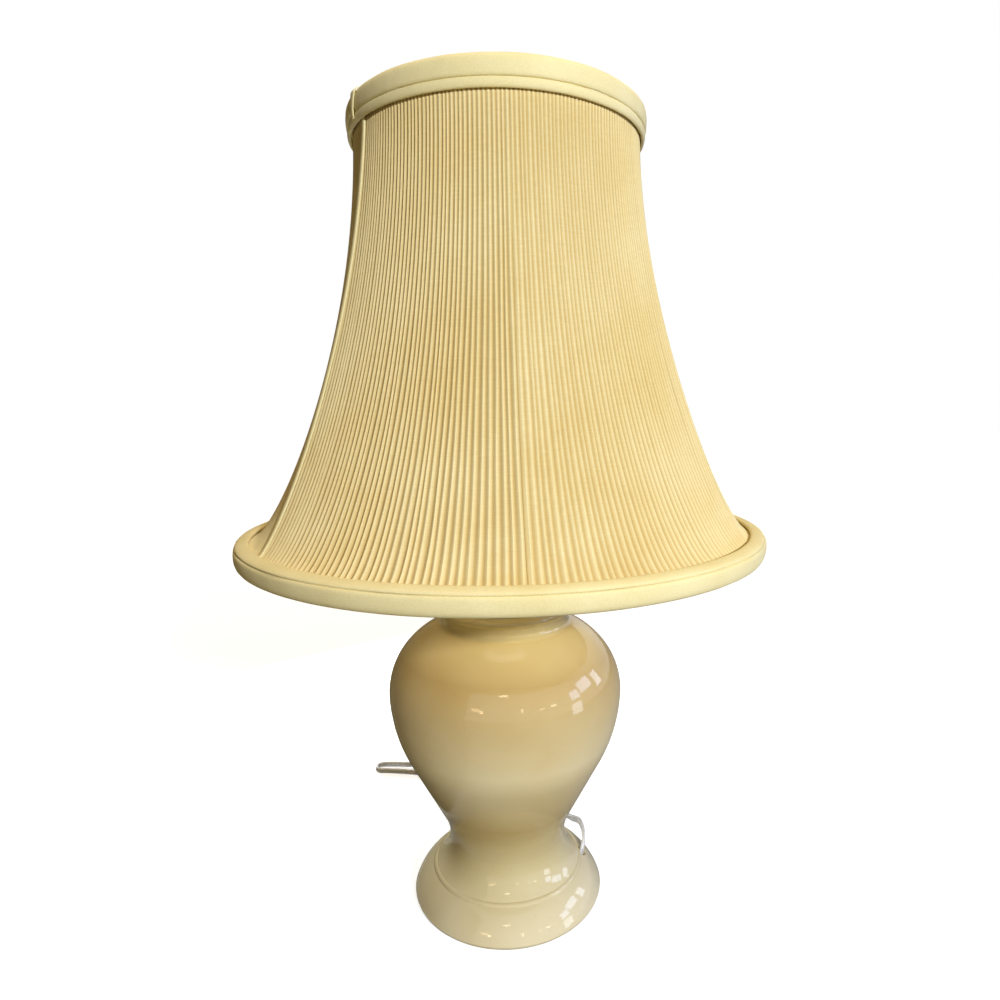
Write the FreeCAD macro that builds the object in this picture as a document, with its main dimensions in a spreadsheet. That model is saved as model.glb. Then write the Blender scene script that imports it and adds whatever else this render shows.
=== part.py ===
import FreeCAD, Part
import math
import Sketcher
import os

# Ginger jar table lamp: a glazed ceramic jar clamped on a threaded pipe, with a
# turn-knob socket, a harp and a six-panel pleated bell shade.
# Millimetres, +Z up, origin at the centre of the foot on the table.
# Azimuths are turned from the front (-Y) towards the right (+X).

Vector = FreeCAD.Vector
doc = FreeCAD.newDocument("GingerJarLamp")
sheet = doc.addObject("Spreadsheet::Sheet", "Sizes")

SIZES = {
    # felt and ceramic jar; jar heights are taken from the jar's own foot
    "felt_radius": 66,
    "felt_thickness": 1.5,
    "jar_wall": 5.5,
    "foot_radius": 71.7,
    "foot_edge_height": 3.5,
    "foot_edge_round": 3.8,
    "foot_ring_width": 5,
    "foot_dome_round": 35,
    "crease_radius": 57.2,
    "crease_height": 21.3,
    "ridge_radius": 54.6,
    "ridge_height": 23.8,
    "ridge_round": 2.4,
    "flare_round": 27.8,
    "waist_radius": 44,
    "waist_height": 45.5,
    "waist_round": 45,
    "belly_start_radius": 49,
    "belly_start_height": 66,
    "belly_end_radius": 72,
    "belly_end_height": 111,
    "belly_round": 112,
    "belly_radius": 85.5,
    "belly_height": 157,
    "shoulder_side_round": 50,
    "shoulder_side_radius": 72.5,
    "shoulder_side_height": 196,
    "shoulder_top_round": 55,
    "shoulder_top_radius": 50.5,
    "shoulder_top_height": 211.3,
    "neck_fillet": 5,
    "neck_radius": 46.2,
    "neck_start_height": 216,
    "bead_bottom": 220.4,
    "bead_top": 226.2,
    "bead_round": 3.4,
    "rim_flat_radius": 44,
    "rim_round": 2.7,
    "jar_height": 228.2,
    "floor_bottom": 28,
    "floor_thickness": 6,
    "pipe_hole_radius": 5.7,
    "cord_hole_radius": 4,
    "cord_exit_azimuth": 94,
    "cord_exit_radius": 58.4,
    "cord_exit_height": 22.6,
    "cord_exit_rise": 37,
    "cord_exit_heading": 147,
    # threaded pipe and its fasteners
    "pipe_radius": 5.1,
    "pipe_bore_radius": 3.3,
    "pipe_bottom": 17.5,
    "pipe_top": 252,
    "thread_clearance": 0.05,
    "seat_gap": 0.05,
    "base_washer_radius": 19,
    "base_washer_thickness": 1.6,
    "lock_washer_radius": 8.4,
    "lock_washer_thickness": 1.2,
    "nut_flats": 14.3,
    "nut_thickness": 4,
    # brass cap and neck on top of the jar
    "vase_cap_radius": 45.4,
    "vase_cap_sheet": 1.2,
    "vase_cap_lip": 3.2,
    "vase_cap_lip_gap": 0.4,
    "vase_cap_rise": 2.4,
    "vase_cap_boss_radius": 14,
    "washer_hole_gap": 0.6,
    "neck_piece_radius": 11,
    "neck_piece_waist": 7.5,
    "neck_piece_height": 11.5,
    # harp
    "saddle_thickness": 1.6,
    "saddle_width": 14,
    "saddle_span": 30,
    "saddle_arm_rise": 9,
    "saddle_bend": 5,
    "saddle_post_radius": 1.9,
    "saddle_post_height": 9,
    "harp_wire_radius": 1.7,
    "harp_half_width": 54,
    "harp_widest_height": 372,
    "harp_shoulder_height": 470,
    "harp_shoulder_half_width": 40,
    "harp_top_height": 533,
    "harp_top_half_width": 9,
    "harp_pad_drop": 0.8,
    "harp_sleeve_wall": 0.8,
    "harp_sleeve_length": 16,
    "harp_sleeve_gap": 0.08,
    "harp_sleeve_travel": 12,
    "harp_leg_bend": 12,
    "stud_flange_radius": 8,
    "stud_flange_thickness": 2,
    "stud_radius": 3.1,
    "stud_length": 13,
    # socket
    "socket_hub_radius": 7.6,
    "socket_hub_height": 6,
    "socket_cap_height": 19,
    "socket_cap_radius": 18.3,
    "socket_sheet": 0.8,
    "socket_nest_gap": 0.15,
    "socket_shell_overlap": 6,
    "socket_height": 64,
    "socket_sleeve_thickness": 0.9,
    "socket_block_height": 22,
    "socket_block_lift": 5,
    "screw_shell_sheet": 0.5,
    "screw_shell_height": 23,
    "contact_radius": 4,
    "contact_thickness": 1,
    "knob_height": 27,
    "knob_stem_radius": 2,
    "knob_stem_reach": 24,
    "knob_radius": 7,
    "knob_length": 13,
    "knob_slot_gap": 0.6,
    "knob_running_gap": 0.05,
    # light bulb
    "bulb_cap_radius": 13.1,
    "bulb_thread_gap": 0.08,
    "bulb_cap_length": 22,
    "bulb_seat_gap": 0.3,
    "bulb_tip_radius": 4.5,
    "bulb_tip_height": 3,
    "bulb_neck_radius": 13.4,
    "bulb_radius": 30,
    "bulb_length": 108,
    # bell shade: the curve that the six rib wires follow
    "shade_top_radius": 94.5,
    "shade_top_height": 545,
    "shade_upper_pull_radius": 102.2,
    "shade_upper_pull_height": 415.4,
    "shade_lower_pull_radius": 162.9,
    "shade_lower_pull_height": 283.7,
    "shade_bottom_radius": 173.5,
    "shade_bottom_height": 284,
    "panel_sag": 6.5,
    "first_rib_azimuth": 4,
    "cover_thickness": 1.2,
    "lining_thickness": 0.5,
    "lining_gap": 3.2,
    "lining_ring_gap": 5,
    "lining_hem_rise": 4.4,
    "frame_gap": 0.25,
    "rib_wire_radius": 1.1,
    "ring_wire_radius": 1.7,
    "top_ring_inset": 1.9,
    "top_ring_rise": 7,
    "bottom_ring_outset": 3.5,
    "bottom_ring_drop": 8,
    "spider_washer_radius": 12,
    "spider_washer_thickness": 1.6,
    "spider_wire_radius": 1.7,
    "spider_fit_gap": 0.25,
    # bias trim round both rims of the shade
    "top_band_outset": 4.1,
    "top_band_width": 8.2,
    "top_band_lift": 1.4,
    "top_band_height": 12.1,
    "top_band_lip": 4.2,
    "top_roll_outset": 3.1,
    "top_roll_height": 6,
    "bottom_band_outset": 7.9,
    "bottom_band_width": 11,
    "bottom_band_lift": 0.6,
    "bottom_band_height": 12,
    "bottom_band_lip": 7,
    "bottom_roll_outset": 6.4,
    "bottom_roll_inset": 2.4,
    "bottom_roll_rise": 3.5,
    "band_skin": 1.5,
    "trim_gap": 0.2,
    "seam_width": 5,
    "seam_thickness": 0.7,
    "trim_tab_azimuth": -60,
    "trim_tab_width": 5,
    "trim_tab_thickness": 2.6,
    # finial
    "finial_radius": 8.5,
    "finial_height": 27,
    "finial_base_radius": 7.5,
    "finial_stem_radius": 3.6,
    # flat two-core cord, its hank and its plug
    "cord_radius": 2,
    "cord_floor_height": 2.7,
    "hank_centre_x": 2,
    "hank_centre_y": 112,
    "hank_run": 96,
    "hank_inner_radius": 6.4,
    "hank_step": 4.5,
    "hank_layer_step": 5.6,
    "hank_waist_draw": 2.2,
    "tie_width": 7,
    "tie_thickness": 0.5,
    "tie_gap": 0.3,
    "plug_length": 27,
    "plug_width": 19,
    "plug_height": 9,
    "plug_nose_width": 11,
    "plug_blade_length": 16,
    "plug_blade_width": 6.3,
    "plug_blade_thickness": 1.5,
    "plug_blade_spacing": 12.7,
}

SHADE_RIBS = 6
SPIDER_ARMS = 3
HANK_TURNS = 2
RIB_STATIONS = 9
RUN_SHARE = 0.45
END_RUN_SHARE = 0.8


class Size:
    """A length that knows both its number and the sheet expression behind it."""

    def __init__(self, value, text):
        self.value = float(value)
        self.text = text

    @staticmethod
    def of(other):
        if isinstance(other, Size):
            return other
        return Size(other, repr(float(other)))

    def joined(self, other, sign, value):
        return Size(value, "(" + self.text + " " + sign + " " + other.text + ")")

    def __add__(self, other):
        other = Size.of(other)
        return self.joined(other, "+", self.value + other.value)

    def __sub__(self, other):
        other = Size.of(other)
        return self.joined(other, "-", self.value - other.value)

    def __mul__(self, other):
        other = Size.of(other)
        return self.joined(other, "*", self.value * other.value)

    def __truediv__(self, other):
        other = Size.of(other)
        return self.joined(other, "/", self.value / other.value)


class SizeBook:
    """Every driving dimension, by name."""


def fill_sheet():
    """Write each driving dimension into the sheet as a plain number with an alias."""
    book = SizeBook()
    for row, (name, number) in enumerate(SIZES.items(), start=1):
        cell = "A" + str(row)
        sheet.set(cell, str(number))
        sheet.setAlias(cell, name)
        setattr(book, name, Size(number, "Sizes." + name))
    doc.recompute()
    return book


size = fill_sheet()
sub_parts = []


def keep(label, thing):
    """Name a document object as one sub-part of the lamp."""
    thing.Label = label
    sub_parts.append(thing)
    return thing


def raise_to(thing, height):
    """Bind the height of an object to the sheet."""
    thing.setExpression("Placement.Base.z", height.text)


# ---------------------------------------------------------------- profiles and bodies

def new_sketch(body, name, plane):
    sketch = body.newObject("Sketcher::SketchObject", name)
    origin_plane = [item for item in body.Origin.OriginFeatures if item.Role == plane][0]
    sketch.AttachmentSupport = (origin_plane, "")
    sketch.MapMode = "FlatFace"
    return sketch


def arc_centre(start, end, radius, side):
    """Centre of the arc from start to end; side +1 puts it to the left of the way there."""
    half = (end - start) * 0.5
    reach = math.sqrt(max(radius * radius - half.Length * half.Length, 0.0))
    left = Vector(-half.y, half.x, 0).normalize()
    return start + half + left * (reach * side)


def sketch_edge(sketch, corner, following):
    """Draw one side of an outline. Returns the ids of its two ends."""
    start = Vector(corner[0].value, corner[1].value, 0)
    end = Vector(following[0].value, following[1].value, 0)
    if len(following) == 2:
        line = sketch.addGeometry(Part.LineSegment(start, end), False)
        return (line, 1), (line, 2)
    radius, side = following[2], following[3]
    centre = arc_centre(start, end, radius.value, side)
    circle = Part.Circle(centre, Vector(0, 0, 1), radius.value)
    first, last = (start, end) if side > 0 else (end, start)
    first_angle = math.atan2(first.y - centre.y, first.x - centre.x)
    last_angle = math.atan2(last.y - centre.y, last.x - centre.x)
    if last_angle < first_angle:
        last_angle += 2 * math.pi
    arc = sketch.addGeometry(Part.ArcOfCircle(circle, first_angle, last_angle), False)
    bend = sketch.addConstraint(Sketcher.Constraint("Radius", arc, radius.value))
    sketch.setExpression("Constraints[" + str(bend) + "]", radius.text)
    if side > 0:
        return (arc, 1), (arc, 2)
    return (arc, 2), (arc, 1)


def pin_corner(sketch, end, corner):
    """Tie one corner of an outline to the sheet across and up."""
    for kind, axis, distance in (("DistanceX", -2, corner[0]), ("DistanceY", -1, corner[1])):
        if distance.value == 0:
            sketch.addConstraint(Sketcher.Constraint("PointOnObject", end[0], end[1], axis))
            continue
        place = sketch.addConstraint(
            Sketcher.Constraint(kind, -1, 1, end[0], end[1], distance.value))
        sketch.setExpression("Constraints[" + str(place) + "]", distance.text)


def draw_outline(sketch, corners):
    """Closed outline. A corner is (across, up) after a straight side, or
    (across, up, radius, side) after an arc."""
    ends = []
    for index, corner in enumerate(corners):
        following = corners[(index + 1) % len(corners)]
        ends.append(sketch_edge(sketch, corner, following))
    for index, corner in enumerate(corners):
        before = ends[index - 1][1]
        after = ends[index][0]
        sketch.addConstraint(
            Sketcher.Constraint("Coincident", before[0], before[1], after[0], after[1]))
        pin_corner(sketch, after, corner)


def turned_body(label, corners, height=None):
    """A body turned round the Z axis from a closed outline of (radius, height) corners."""
    body = doc.addObject("PartDesign::Body", "Body_" + label)
    sketch = new_sketch(body, "Outline_" + label, "XZ_Plane")
    draw_outline(sketch, corners)
    turn = body.newObject("PartDesign::Revolution", "Turn_" + label)
    turn.Profile = sketch
    turn.ReferenceAxis = (sketch, ["V_Axis"])
    turn.Angle = 360
    sketch.Visibility = False
    if height is not None:
        raise_to(body, height)
    return keep(label, body)


def shaped(label, shape):
    """A sub-part whose shape is worked out from the sheet's values here."""
    feature = doc.addObject("Part::Feature", label)
    feature.Shape = shape
    return keep(label, feature)


ZERO = Size(0, "0")


def ring_corners(inner, outer, bottom, top):
    return [(inner, bottom), (outer, bottom), (outer, top), (inner, top)]


# ---------------------------------------------------------------- curves and tubes

def around(radius, azimuth, height):
    """Point at an azimuth in degrees from the front, turned towards the right."""
    angle = math.radians(azimuth)
    return Vector(radius * math.sin(angle), -radius * math.cos(angle), height)


def arc_edge(first, middle, last):
    return Part.Arc(first, middle, last).toShape()


def line_edge(first, last):
    return Part.LineSegment(first, last).toShape()


def rounded_path(points, largest=400.0):
    """Straight runs joined by tangent arcs, each as large as its two runs allow."""
    edges = []
    bends = []
    start = points[0]
    last_corner = len(points) - 2
    for index in range(1, last_corner + 1):
        corner = points[index]
        back = points[index - 1] - corner
        ahead = points[index + 1] - corner
        half_turn = (math.pi - back.getAngle(ahead)) / 2
        back_room = back.Length * (END_RUN_SHARE if index == 1 else RUN_SHARE)
        ahead_room = ahead.Length * (END_RUN_SHARE if index == last_corner else RUN_SHARE)
        radius = min(back_room, ahead_room) / math.tan(half_turn)
        radius = min(radius, largest)
        cut = radius * math.tan(half_turn)
        back.normalize()
        ahead.normalize()
        arc_start = corner + back * cut
        arc_end = corner + ahead * cut
        inward = (back + ahead).normalize()
        arc_middle = corner + inward * (radius / math.cos(half_turn) - radius)
        edges.append(line_edge(start, arc_start))
        edges.append(arc_edge(arc_start, arc_middle, arc_end))
        bends.append(radius)
        start = arc_end
    edges.append(line_edge(start, points[-1]))
    return Part.Wire(edges), bends


def turn_corners(centre, radius, first_angle, count, step):
    """Corners whose tangent arcs make one even turn round a centre on the table.
    Angles in degrees from the right (+X) towards the back (+Y)."""
    reach = radius / math.cos(math.radians(step / 2))
    corners = []
    for index in range(count):
        angle = math.radians(first_angle + step * index)
        corners.append(centre + Vector(math.cos(angle), math.sin(angle), 0) * reach)
    return corners


def start_direction(path):
    first = path.Edges[0]
    return first.tangentAt(first.FirstParameter)


def round_tube(path, radius):
    """Solid round wire along a path."""
    start = path.Edges[0].valueAt(path.Edges[0].FirstParameter)
    section = Part.Wire([Part.makeCircle(radius, start, start_direction(path))])
    return path.makePipeShell([section], True, False)


def report_tube(name, shape, path, radius):
    expected = math.pi * radius * radius * path.Length
    print(name, "length", round(path.Length, 1), "volume ratio", round(shape.Volume / expected, 4))


exit_rise = math.radians(size.cord_exit_rise.value)
exit_point = around(size.cord_exit_radius.value, size.cord_exit_azimuth.value,
                    size.cord_exit_height.value)
exit_direction = around(math.cos(exit_rise), size.cord_exit_heading.value,
                        math.sin(exit_rise))

# ---------------------------------------------------------------- felt and ceramic jar

turned_body("base_felt", ring_corners(ZERO, size.felt_radius, ZERO, size.felt_thickness))

foot_ring_outer = size.foot_radius - size.foot_edge_round
foot_ring_inner = foot_ring_outer - size.foot_ring_width
inner_dome_round = size.foot_dome_round - size.jar_wall
slant_wall = size.jar_wall * 0.7
floor_top = size.floor_bottom + size.floor_thickness

JAR_OUTSIDE = [
    (foot_ring_outer, ZERO),
    (size.foot_radius, size.foot_edge_height, size.foot_edge_round, 1),
    (size.crease_radius, size.crease_height, size.foot_dome_round, 1),
    (size.ridge_radius, size.ridge_height, size.ridge_round, 1),
    (size.waist_radius, size.waist_height, size.flare_round, -1),
    (size.belly_start_radius, size.belly_start_height, size.waist_round, -1),
    (size.belly_end_radius, size.belly_end_height),
    (size.belly_radius, size.belly_height, size.belly_round, 1),
    (size.shoulder_side_radius, size.shoulder_side_height, size.shoulder_side_round, 1),
    (size.shoulder_top_radius, size.shoulder_top_height, size.shoulder_top_round, 1),
    (size.neck_radius, size.neck_start_height, size.neck_fillet, -1),
    (size.neck_radius, size.bead_bottom),
    (size.neck_radius + 0.2, size.bead_top, size.bead_round, 1),
    (size.rim_flat_radius, size.jar_height, size.rim_round, 1),
]
JAR_INSIDE = [
    (size.neck_radius - size.jar_wall, size.jar_height),
    (size.neck_radius - size.jar_wall, size.shoulder_top_height - size.jar_wall),
    (size.shoulder_side_radius - slant_wall, size.shoulder_side_height - slant_wall,
     size.shoulder_top_round, -1),
    (size.belly_radius - size.jar_wall, size.belly_height, size.shoulder_side_round, -1),
    (size.belly_end_radius - size.jar_wall, size.belly_end_height, size.belly_round, -1),
    (size.belly_start_radius - size.jar_wall, size.belly_start_height),
    (size.waist_radius - size.jar_wall, size.waist_height, size.waist_round, 1),
    (size.waist_radius - size.jar_wall, floor_top),
    (size.pipe_hole_radius, floor_top),
    (size.pipe_hole_radius, size.floor_bottom),
    (size.ridge_radius - size.jar_wall - slant_wall, size.floor_bottom),
    (size.ridge_radius - slant_wall, size.crease_height - slant_wall),
    (size.foot_radius - size.jar_wall, size.foot_edge_height, inner_dome_round, -1),
    (foot_ring_inner, ZERO),
]


def add_cord_hole(body):
    """Drill the cord's hole through the dome of the foot, slanting up and to the back."""
    drill = doc.addObject("Part::Cylinder", "CordHole")
    drill.setExpression("Radius", size.cord_hole_radius.text)
    drill.setExpression("Height", (size.jar_wall * 4).text)
    turn = FreeCAD.Rotation(Vector(0, 0, 1), exit_direction)
    base = exit_point - exit_direction * (size.jar_wall.value * 2)
    drill.Placement = FreeCAD.Placement(base, turn)
    cut = doc.addObject("Part::Cut", "DrilledJar")
    cut.Base = body
    cut.Tool = drill
    return cut


jar_blank = turned_body("jar_body", JAR_OUTSIDE + JAR_INSIDE, size.felt_thickness)
sub_parts.remove(jar_blank)
jar_blank.Label = "JarBlank"
keep("jar_body", add_cord_hole(jar_blank))

# ---------------------------------------------------------------- pipe and fasteners

jar_floor_bottom = size.felt_thickness + size.floor_bottom
jar_top = size.felt_thickness + size.jar_height
washer_top = jar_floor_bottom - size.seat_gap
washer_bottom = washer_top - size.base_washer_thickness
lock_top = washer_bottom - size.seat_gap
lock_bottom = lock_top - size.lock_washer_thickness
nut_top = lock_bottom - size.seat_gap
pipe_fit_radius = size.pipe_radius + size.thread_clearance

turned_body("threaded_pipe", ring_corners(
    size.pipe_bore_radius, size.pipe_radius, size.pipe_bottom, size.pipe_top))
turned_body("base_washer", ring_corners(
    size.pipe_radius + size.washer_hole_gap, size.base_washer_radius, washer_bottom, washer_top))
turned_body("lock_washer", ring_corners(
    size.pipe_radius + size.washer_hole_gap, size.lock_washer_radius, lock_bottom, lock_top))


def hex_nut(label, top):
    """Hexagon nut on the pipe, with its top face at the height given."""
    blank = doc.addObject("Part::Prism", "Blank_" + label)
    blank.Polygon = 6
    blank.setExpression("Circumradius", (size.nut_flats / math.sqrt(3)).text)
    blank.setExpression("Height", size.nut_thickness.text)
    raise_to(blank, top - size.nut_thickness)
    bore = doc.addObject("Part::Cylinder", "Bore_" + label)
    bore.setExpression("Radius", pipe_fit_radius.text)
    bore.setExpression("Height", (size.nut_thickness * 3).text)
    raise_to(bore, top - size.nut_thickness * 2)
    nut = doc.addObject("Part::Cut", "Nut_" + label)
    nut.Base = blank
    nut.Tool = bore
    return keep(label, nut)


hex_nut("base_nut", nut_top)

# ---------------------------------------------------------------- brass cap and neck

cap_under = jar_top + size.seat_gap
cap_crown = cap_under + size.vase_cap_rise
cap_lip_bottom = cap_under - size.vase_cap_lip
cap_lip_outer = size.neck_radius - size.jar_wall - size.vase_cap_lip_gap
cap_lip_inner = cap_lip_outer - size.vase_cap_sheet
turned_body("vase_cap", [
    (pipe_fit_radius, cap_crown),
    (size.vase_cap_boss_radius, cap_crown),
    (cap_lip_inner, cap_under),
    (cap_lip_inner, cap_lip_bottom),
    (cap_lip_outer, cap_lip_bottom),
    (cap_lip_outer, cap_under),
    (size.vase_cap_radius, cap_under),
    (size.vase_cap_radius, cap_under + size.vase_cap_sheet),
    (cap_lip_outer, cap_under + size.vase_cap_sheet),
    (size.vase_cap_boss_radius + size.vase_cap_sheet, cap_crown + size.vase_cap_sheet),
    (pipe_fit_radius, cap_crown + size.vase_cap_sheet),
])

neck_bottom = cap_crown + size.vase_cap_sheet + size.seat_gap
neck_top = neck_bottom + size.neck_piece_height
neck_waist_height = neck_bottom + size.neck_piece_height * 0.55
turned_body("neck_piece", [
    (pipe_fit_radius, neck_bottom),
    (size.neck_piece_radius, neck_bottom),
    (size.neck_piece_radius, neck_bottom + size.neck_piece_height * 0.2),
    (size.neck_piece_waist, neck_waist_height, size.neck_piece_height, -1),
    (size.neck_piece_radius - 1, neck_top, size.neck_piece_height, -1),
    (pipe_fit_radius, neck_top),
])

# ---------------------------------------------------------------- harp saddle and harp

saddle_bottom = neck_top + size.seat_gap
saddle_top = saddle_bottom + size.saddle_thickness


def make_saddle():
    """Bent strip with an upturned arm at each side and a post on each arm."""
    bottom = saddle_bottom.value
    sheet_metal = size.saddle_thickness.value
    span = size.saddle_span.value
    rise = size.saddle_arm_rise.value
    bend = size.saddle_bend.value
    width = size.saddle_width.value
    half = width / 2
    middle = Vector(0, -half, bottom)
    flat = size.socket_cap_radius.value * 0.6
    right = [middle, Vector(flat, -half, bottom), Vector(span - bend, -half, bottom + rise - bend),
             Vector(span, -half, bottom + rise)]
    left = [Vector(-point.x, point.y, point.z) for point in reversed(right)]
    lower = left + right[1:]
    upper = [Vector(point.x, point.y, point.z + sheet_metal) for point in reversed(lower)]
    outline = Part.makePolygon(lower + upper + [lower[0]])
    strip = Part.Face(outline).extrude(Vector(0, width, 0))
    strip = strip.cut(Part.makeCylinder(pipe_fit_radius.value, 4 * sheet_metal,
                                        Vector(0, 0, bottom - sheet_metal)))
    post_radius = size.saddle_post_radius.value
    post_height = size.saddle_post_height.value
    for side in (-1, 1):
        ear = Part.makeCylinder(half * 0.6, sheet_metal, Vector(side * span, 0, bottom + rise))
        post = Part.makeCylinder(post_radius, post_height + sheet_metal,
                                 Vector(side * span, 0, bottom + rise))
        strip = strip.fuse([ear, post])
    return strip.removeSplitter()


shaped("harp_saddle", make_saddle())

post_base = saddle_bottom + size.saddle_arm_rise + size.saddle_thickness
post_top = post_base + size.saddle_post_height
harp_foot = post_top + size.trim_gap
sleeve_bottom = post_base + size.trim_gap


def harp_path():
    """Wire line of the harp, from the left foot over the top to the right foot."""
    span = size.saddle_span.value
    foot = harp_foot.value
    wide = size.harp_half_width.value
    widest = size.harp_widest_height.value
    shoulder = size.harp_shoulder_height.value
    shoulder_half = size.harp_shoulder_half_width.value
    top = size.harp_top_height.value
    top_half = size.harp_top_half_width.value
    leg_top = (sleeve_bottom + size.harp_sleeve_length + size.harp_sleeve_travel
               + size.trim_gap).value
    bend = leg_top + size.harp_leg_bend.value
    right = [
        Vector(span, 0, leg_top),
        Vector(span, 0, bend),
        Vector(wide, 0, bend + (widest - bend) * 0.45),
        Vector(wide, 0, widest + (shoulder - widest) * 0.35),
        Vector(shoulder_half, 0, shoulder),
        Vector(top_half, 0, top),
    ]
    left = [Vector(-point.x, 0, point.z) for point in right]
    points = left + list(reversed(right))
    path, bends = rounded_path(points)
    print("harp bends", [round(radius, 1) for radius in bends])
    left_leg = line_edge(Vector(-span, 0, foot), left[0])
    right_leg = line_edge(right[0], Vector(span, 0, foot))
    return Part.Wire([left_leg] + path.Edges + [right_leg])


harp_line = harp_path()
harp_wire = round_tube(harp_line, size.harp_wire_radius.value)
report_tube("harp", harp_wire, harp_line, size.harp_wire_radius.value)
harp_seat_top = size.harp_top_height + size.harp_wire_radius + 0.6
harp_pad_bottom = size.harp_top_height - size.harp_wire_radius - size.harp_pad_drop
pad = Part.makeCylinder(size.stud_flange_radius.value * 0.8,
                        (harp_seat_top - harp_pad_bottom).value,
                        Vector(0, 0, harp_pad_bottom.value))
harp_eye = Part.makeCylinder(size.stud_radius.value + size.thread_clearance.value,
                             size.stud_length.value,
                             Vector(0, 0, size.harp_top_height.value - size.stud_length.value / 2))
shaped("harp", harp_wire.fuse(pad).cut(harp_eye).removeSplitter())

# sleeves that slide down over the joint of harp and saddle post
post_bore = size.saddle_post_radius + size.harp_sleeve_gap
for sleeve_side, sleeve_label in ((-1, "harp_sleeve_left"), (1, "harp_sleeve_right")):
    sleeve = turned_body(sleeve_label, ring_corners(
        post_bore, post_bore + size.harp_sleeve_wall, sleeve_bottom,
        sleeve_bottom + size.harp_sleeve_length))
    sleeve.setExpression("Placement.Base.x", (size.saddle_span * sleeve_side).text)

# swivel stud on top of the harp: lower head, shank in the eye, flange and thread
stud_flange_bottom = harp_seat_top + size.seat_gap
stud_flange_top = stud_flange_bottom + size.stud_flange_thickness
stud_head_top = harp_pad_bottom - size.seat_gap
stud_head_bottom = stud_head_top - 1.6
stud_top = stud_flange_top + size.stud_length
turned_body("harp_stud", [
    (ZERO, stud_head_bottom),
    (size.stud_flange_radius * 0.6, stud_head_bottom),
    (size.stud_flange_radius * 0.6, stud_head_top),
    (size.stud_radius, stud_head_top),
    (size.stud_radius, stud_flange_bottom),
    (size.stud_flange_radius, stud_flange_bottom),
    (size.stud_flange_radius, stud_flange_top),
    (size.stud_radius, stud_flange_top),
    (size.stud_radius, stud_top),
    (ZERO, stud_top),
])

# ---------------------------------------------------------------- socket

socket_bottom = saddle_top + size.seat_gap
socket_rim = socket_bottom + size.socket_cap_height
shell_radius = size.socket_cap_radius - size.socket_sheet - size.socket_nest_gap
shell_inner = shell_radius - size.socket_sheet
shell_bottom = socket_rim - size.socket_shell_overlap
shell_top = socket_bottom + size.socket_height
sleeve_radius = shell_inner - size.socket_nest_gap
insulator_inner = sleeve_radius - size.socket_sleeve_thickness
block_bottom = socket_bottom + size.socket_cap_height - size.socket_block_lift
block_top = block_bottom + size.socket_block_height
block_radius = insulator_inner - size.socket_nest_gap

turned_body("socket_cap", [
    (pipe_fit_radius, socket_bottom),
    (size.socket_hub_radius, socket_bottom),
    (size.socket_hub_radius, socket_bottom + size.socket_hub_height),
    (size.socket_cap_radius, socket_bottom + size.socket_cap_height * 0.62,
     size.socket_cap_radius, 1),
    (size.socket_cap_radius, socket_rim),
    (size.socket_cap_radius - size.socket_sheet, socket_rim),
    (size.socket_cap_radius - size.socket_sheet, socket_bottom + size.socket_cap_height * 0.64),
    (size.socket_hub_radius - size.socket_sheet, socket_bottom + size.socket_hub_height
     + size.socket_sheet, size.socket_cap_radius, -1),
    (pipe_fit_radius, socket_bottom + size.socket_hub_height + size.socket_sheet),
])

knob_axis_height = socket_bottom + size.knob_height
knob_slot_radius = size.knob_stem_radius + size.knob_slot_gap
knob_bearing_radius = size.knob_stem_radius + size.knob_running_gap


def with_knob_hole(body, radius):
    """Open a side hole for the knob's stem through a turned sleeve, towards the front."""
    sub_parts.remove(body)
    label = body.Label
    body.Label = "Blank_" + label
    drill = doc.addObject("Part::Cylinder", "KnobHole_" + label)
    drill.setExpression("Radius", radius.text)
    drill.setExpression("Height", (size.socket_cap_radius * 2).text)
    drill.Placement = FreeCAD.Placement(Vector(0, 0, 0), FreeCAD.Rotation(Vector(1, 0, 0), 90))
    raise_to(drill, knob_axis_height)
    opened = doc.addObject("Part::Cut", "Opened_" + label)
    opened.Base = body
    opened.Tool = drill
    return keep(label, opened)


with_knob_hole(turned_body("socket_shell", [
    (shell_inner, shell_bottom),
    (shell_radius, shell_bottom),
    (shell_radius, shell_top - size.socket_sheet),
    (shell_radius - size.socket_sheet, shell_top, size.socket_sheet, 1),
    (shell_inner - size.socket_sheet, shell_top),
    (shell_inner - size.socket_sheet, shell_top - size.socket_sheet),
    (shell_inner, shell_top - size.socket_sheet),
]), knob_slot_radius)
with_knob_hole(turned_body("socket_insulator", ring_corners(
    insulator_inner, sleeve_radius, shell_bottom + 1, shell_top - size.socket_sheet * 2)),
    knob_slot_radius)
with_knob_hole(turned_body("socket_block", ring_corners(
    size.contact_radius * 0.5, block_radius, block_bottom, block_top)), knob_bearing_radius)

screw_bottom = block_top + size.seat_gap
screw_top = screw_bottom + size.screw_shell_height
screw_inner = size.bulb_cap_radius + size.bulb_thread_gap
screw_outer = screw_inner + size.screw_shell_sheet
turned_body("screw_shell", [
    (size.contact_radius + 2, screw_bottom),
    (screw_outer, screw_bottom),
    (screw_outer, screw_top),
    (screw_inner, screw_top),
    (screw_inner, screw_bottom + size.screw_shell_sheet),
    (size.contact_radius + 2, screw_bottom + size.screw_shell_sheet),
])
contact_top = screw_bottom + size.contact_thickness
turned_body("centre_contact", ring_corners(ZERO, size.contact_radius, screw_bottom, contact_top))

# turn knob on its stem, pointing to the front
knob_inner_end = size.contact_radius * 0.5 + 1
knob_turn = FreeCAD.Rotation(Vector(1, 0, 0), 90)


def front_pointing(label, corners):
    body = turned_body(label, corners)
    body.Placement = FreeCAD.Placement(Vector(0, 0, 0), knob_turn)
    raise_to(body, knob_axis_height)
    return body


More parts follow.
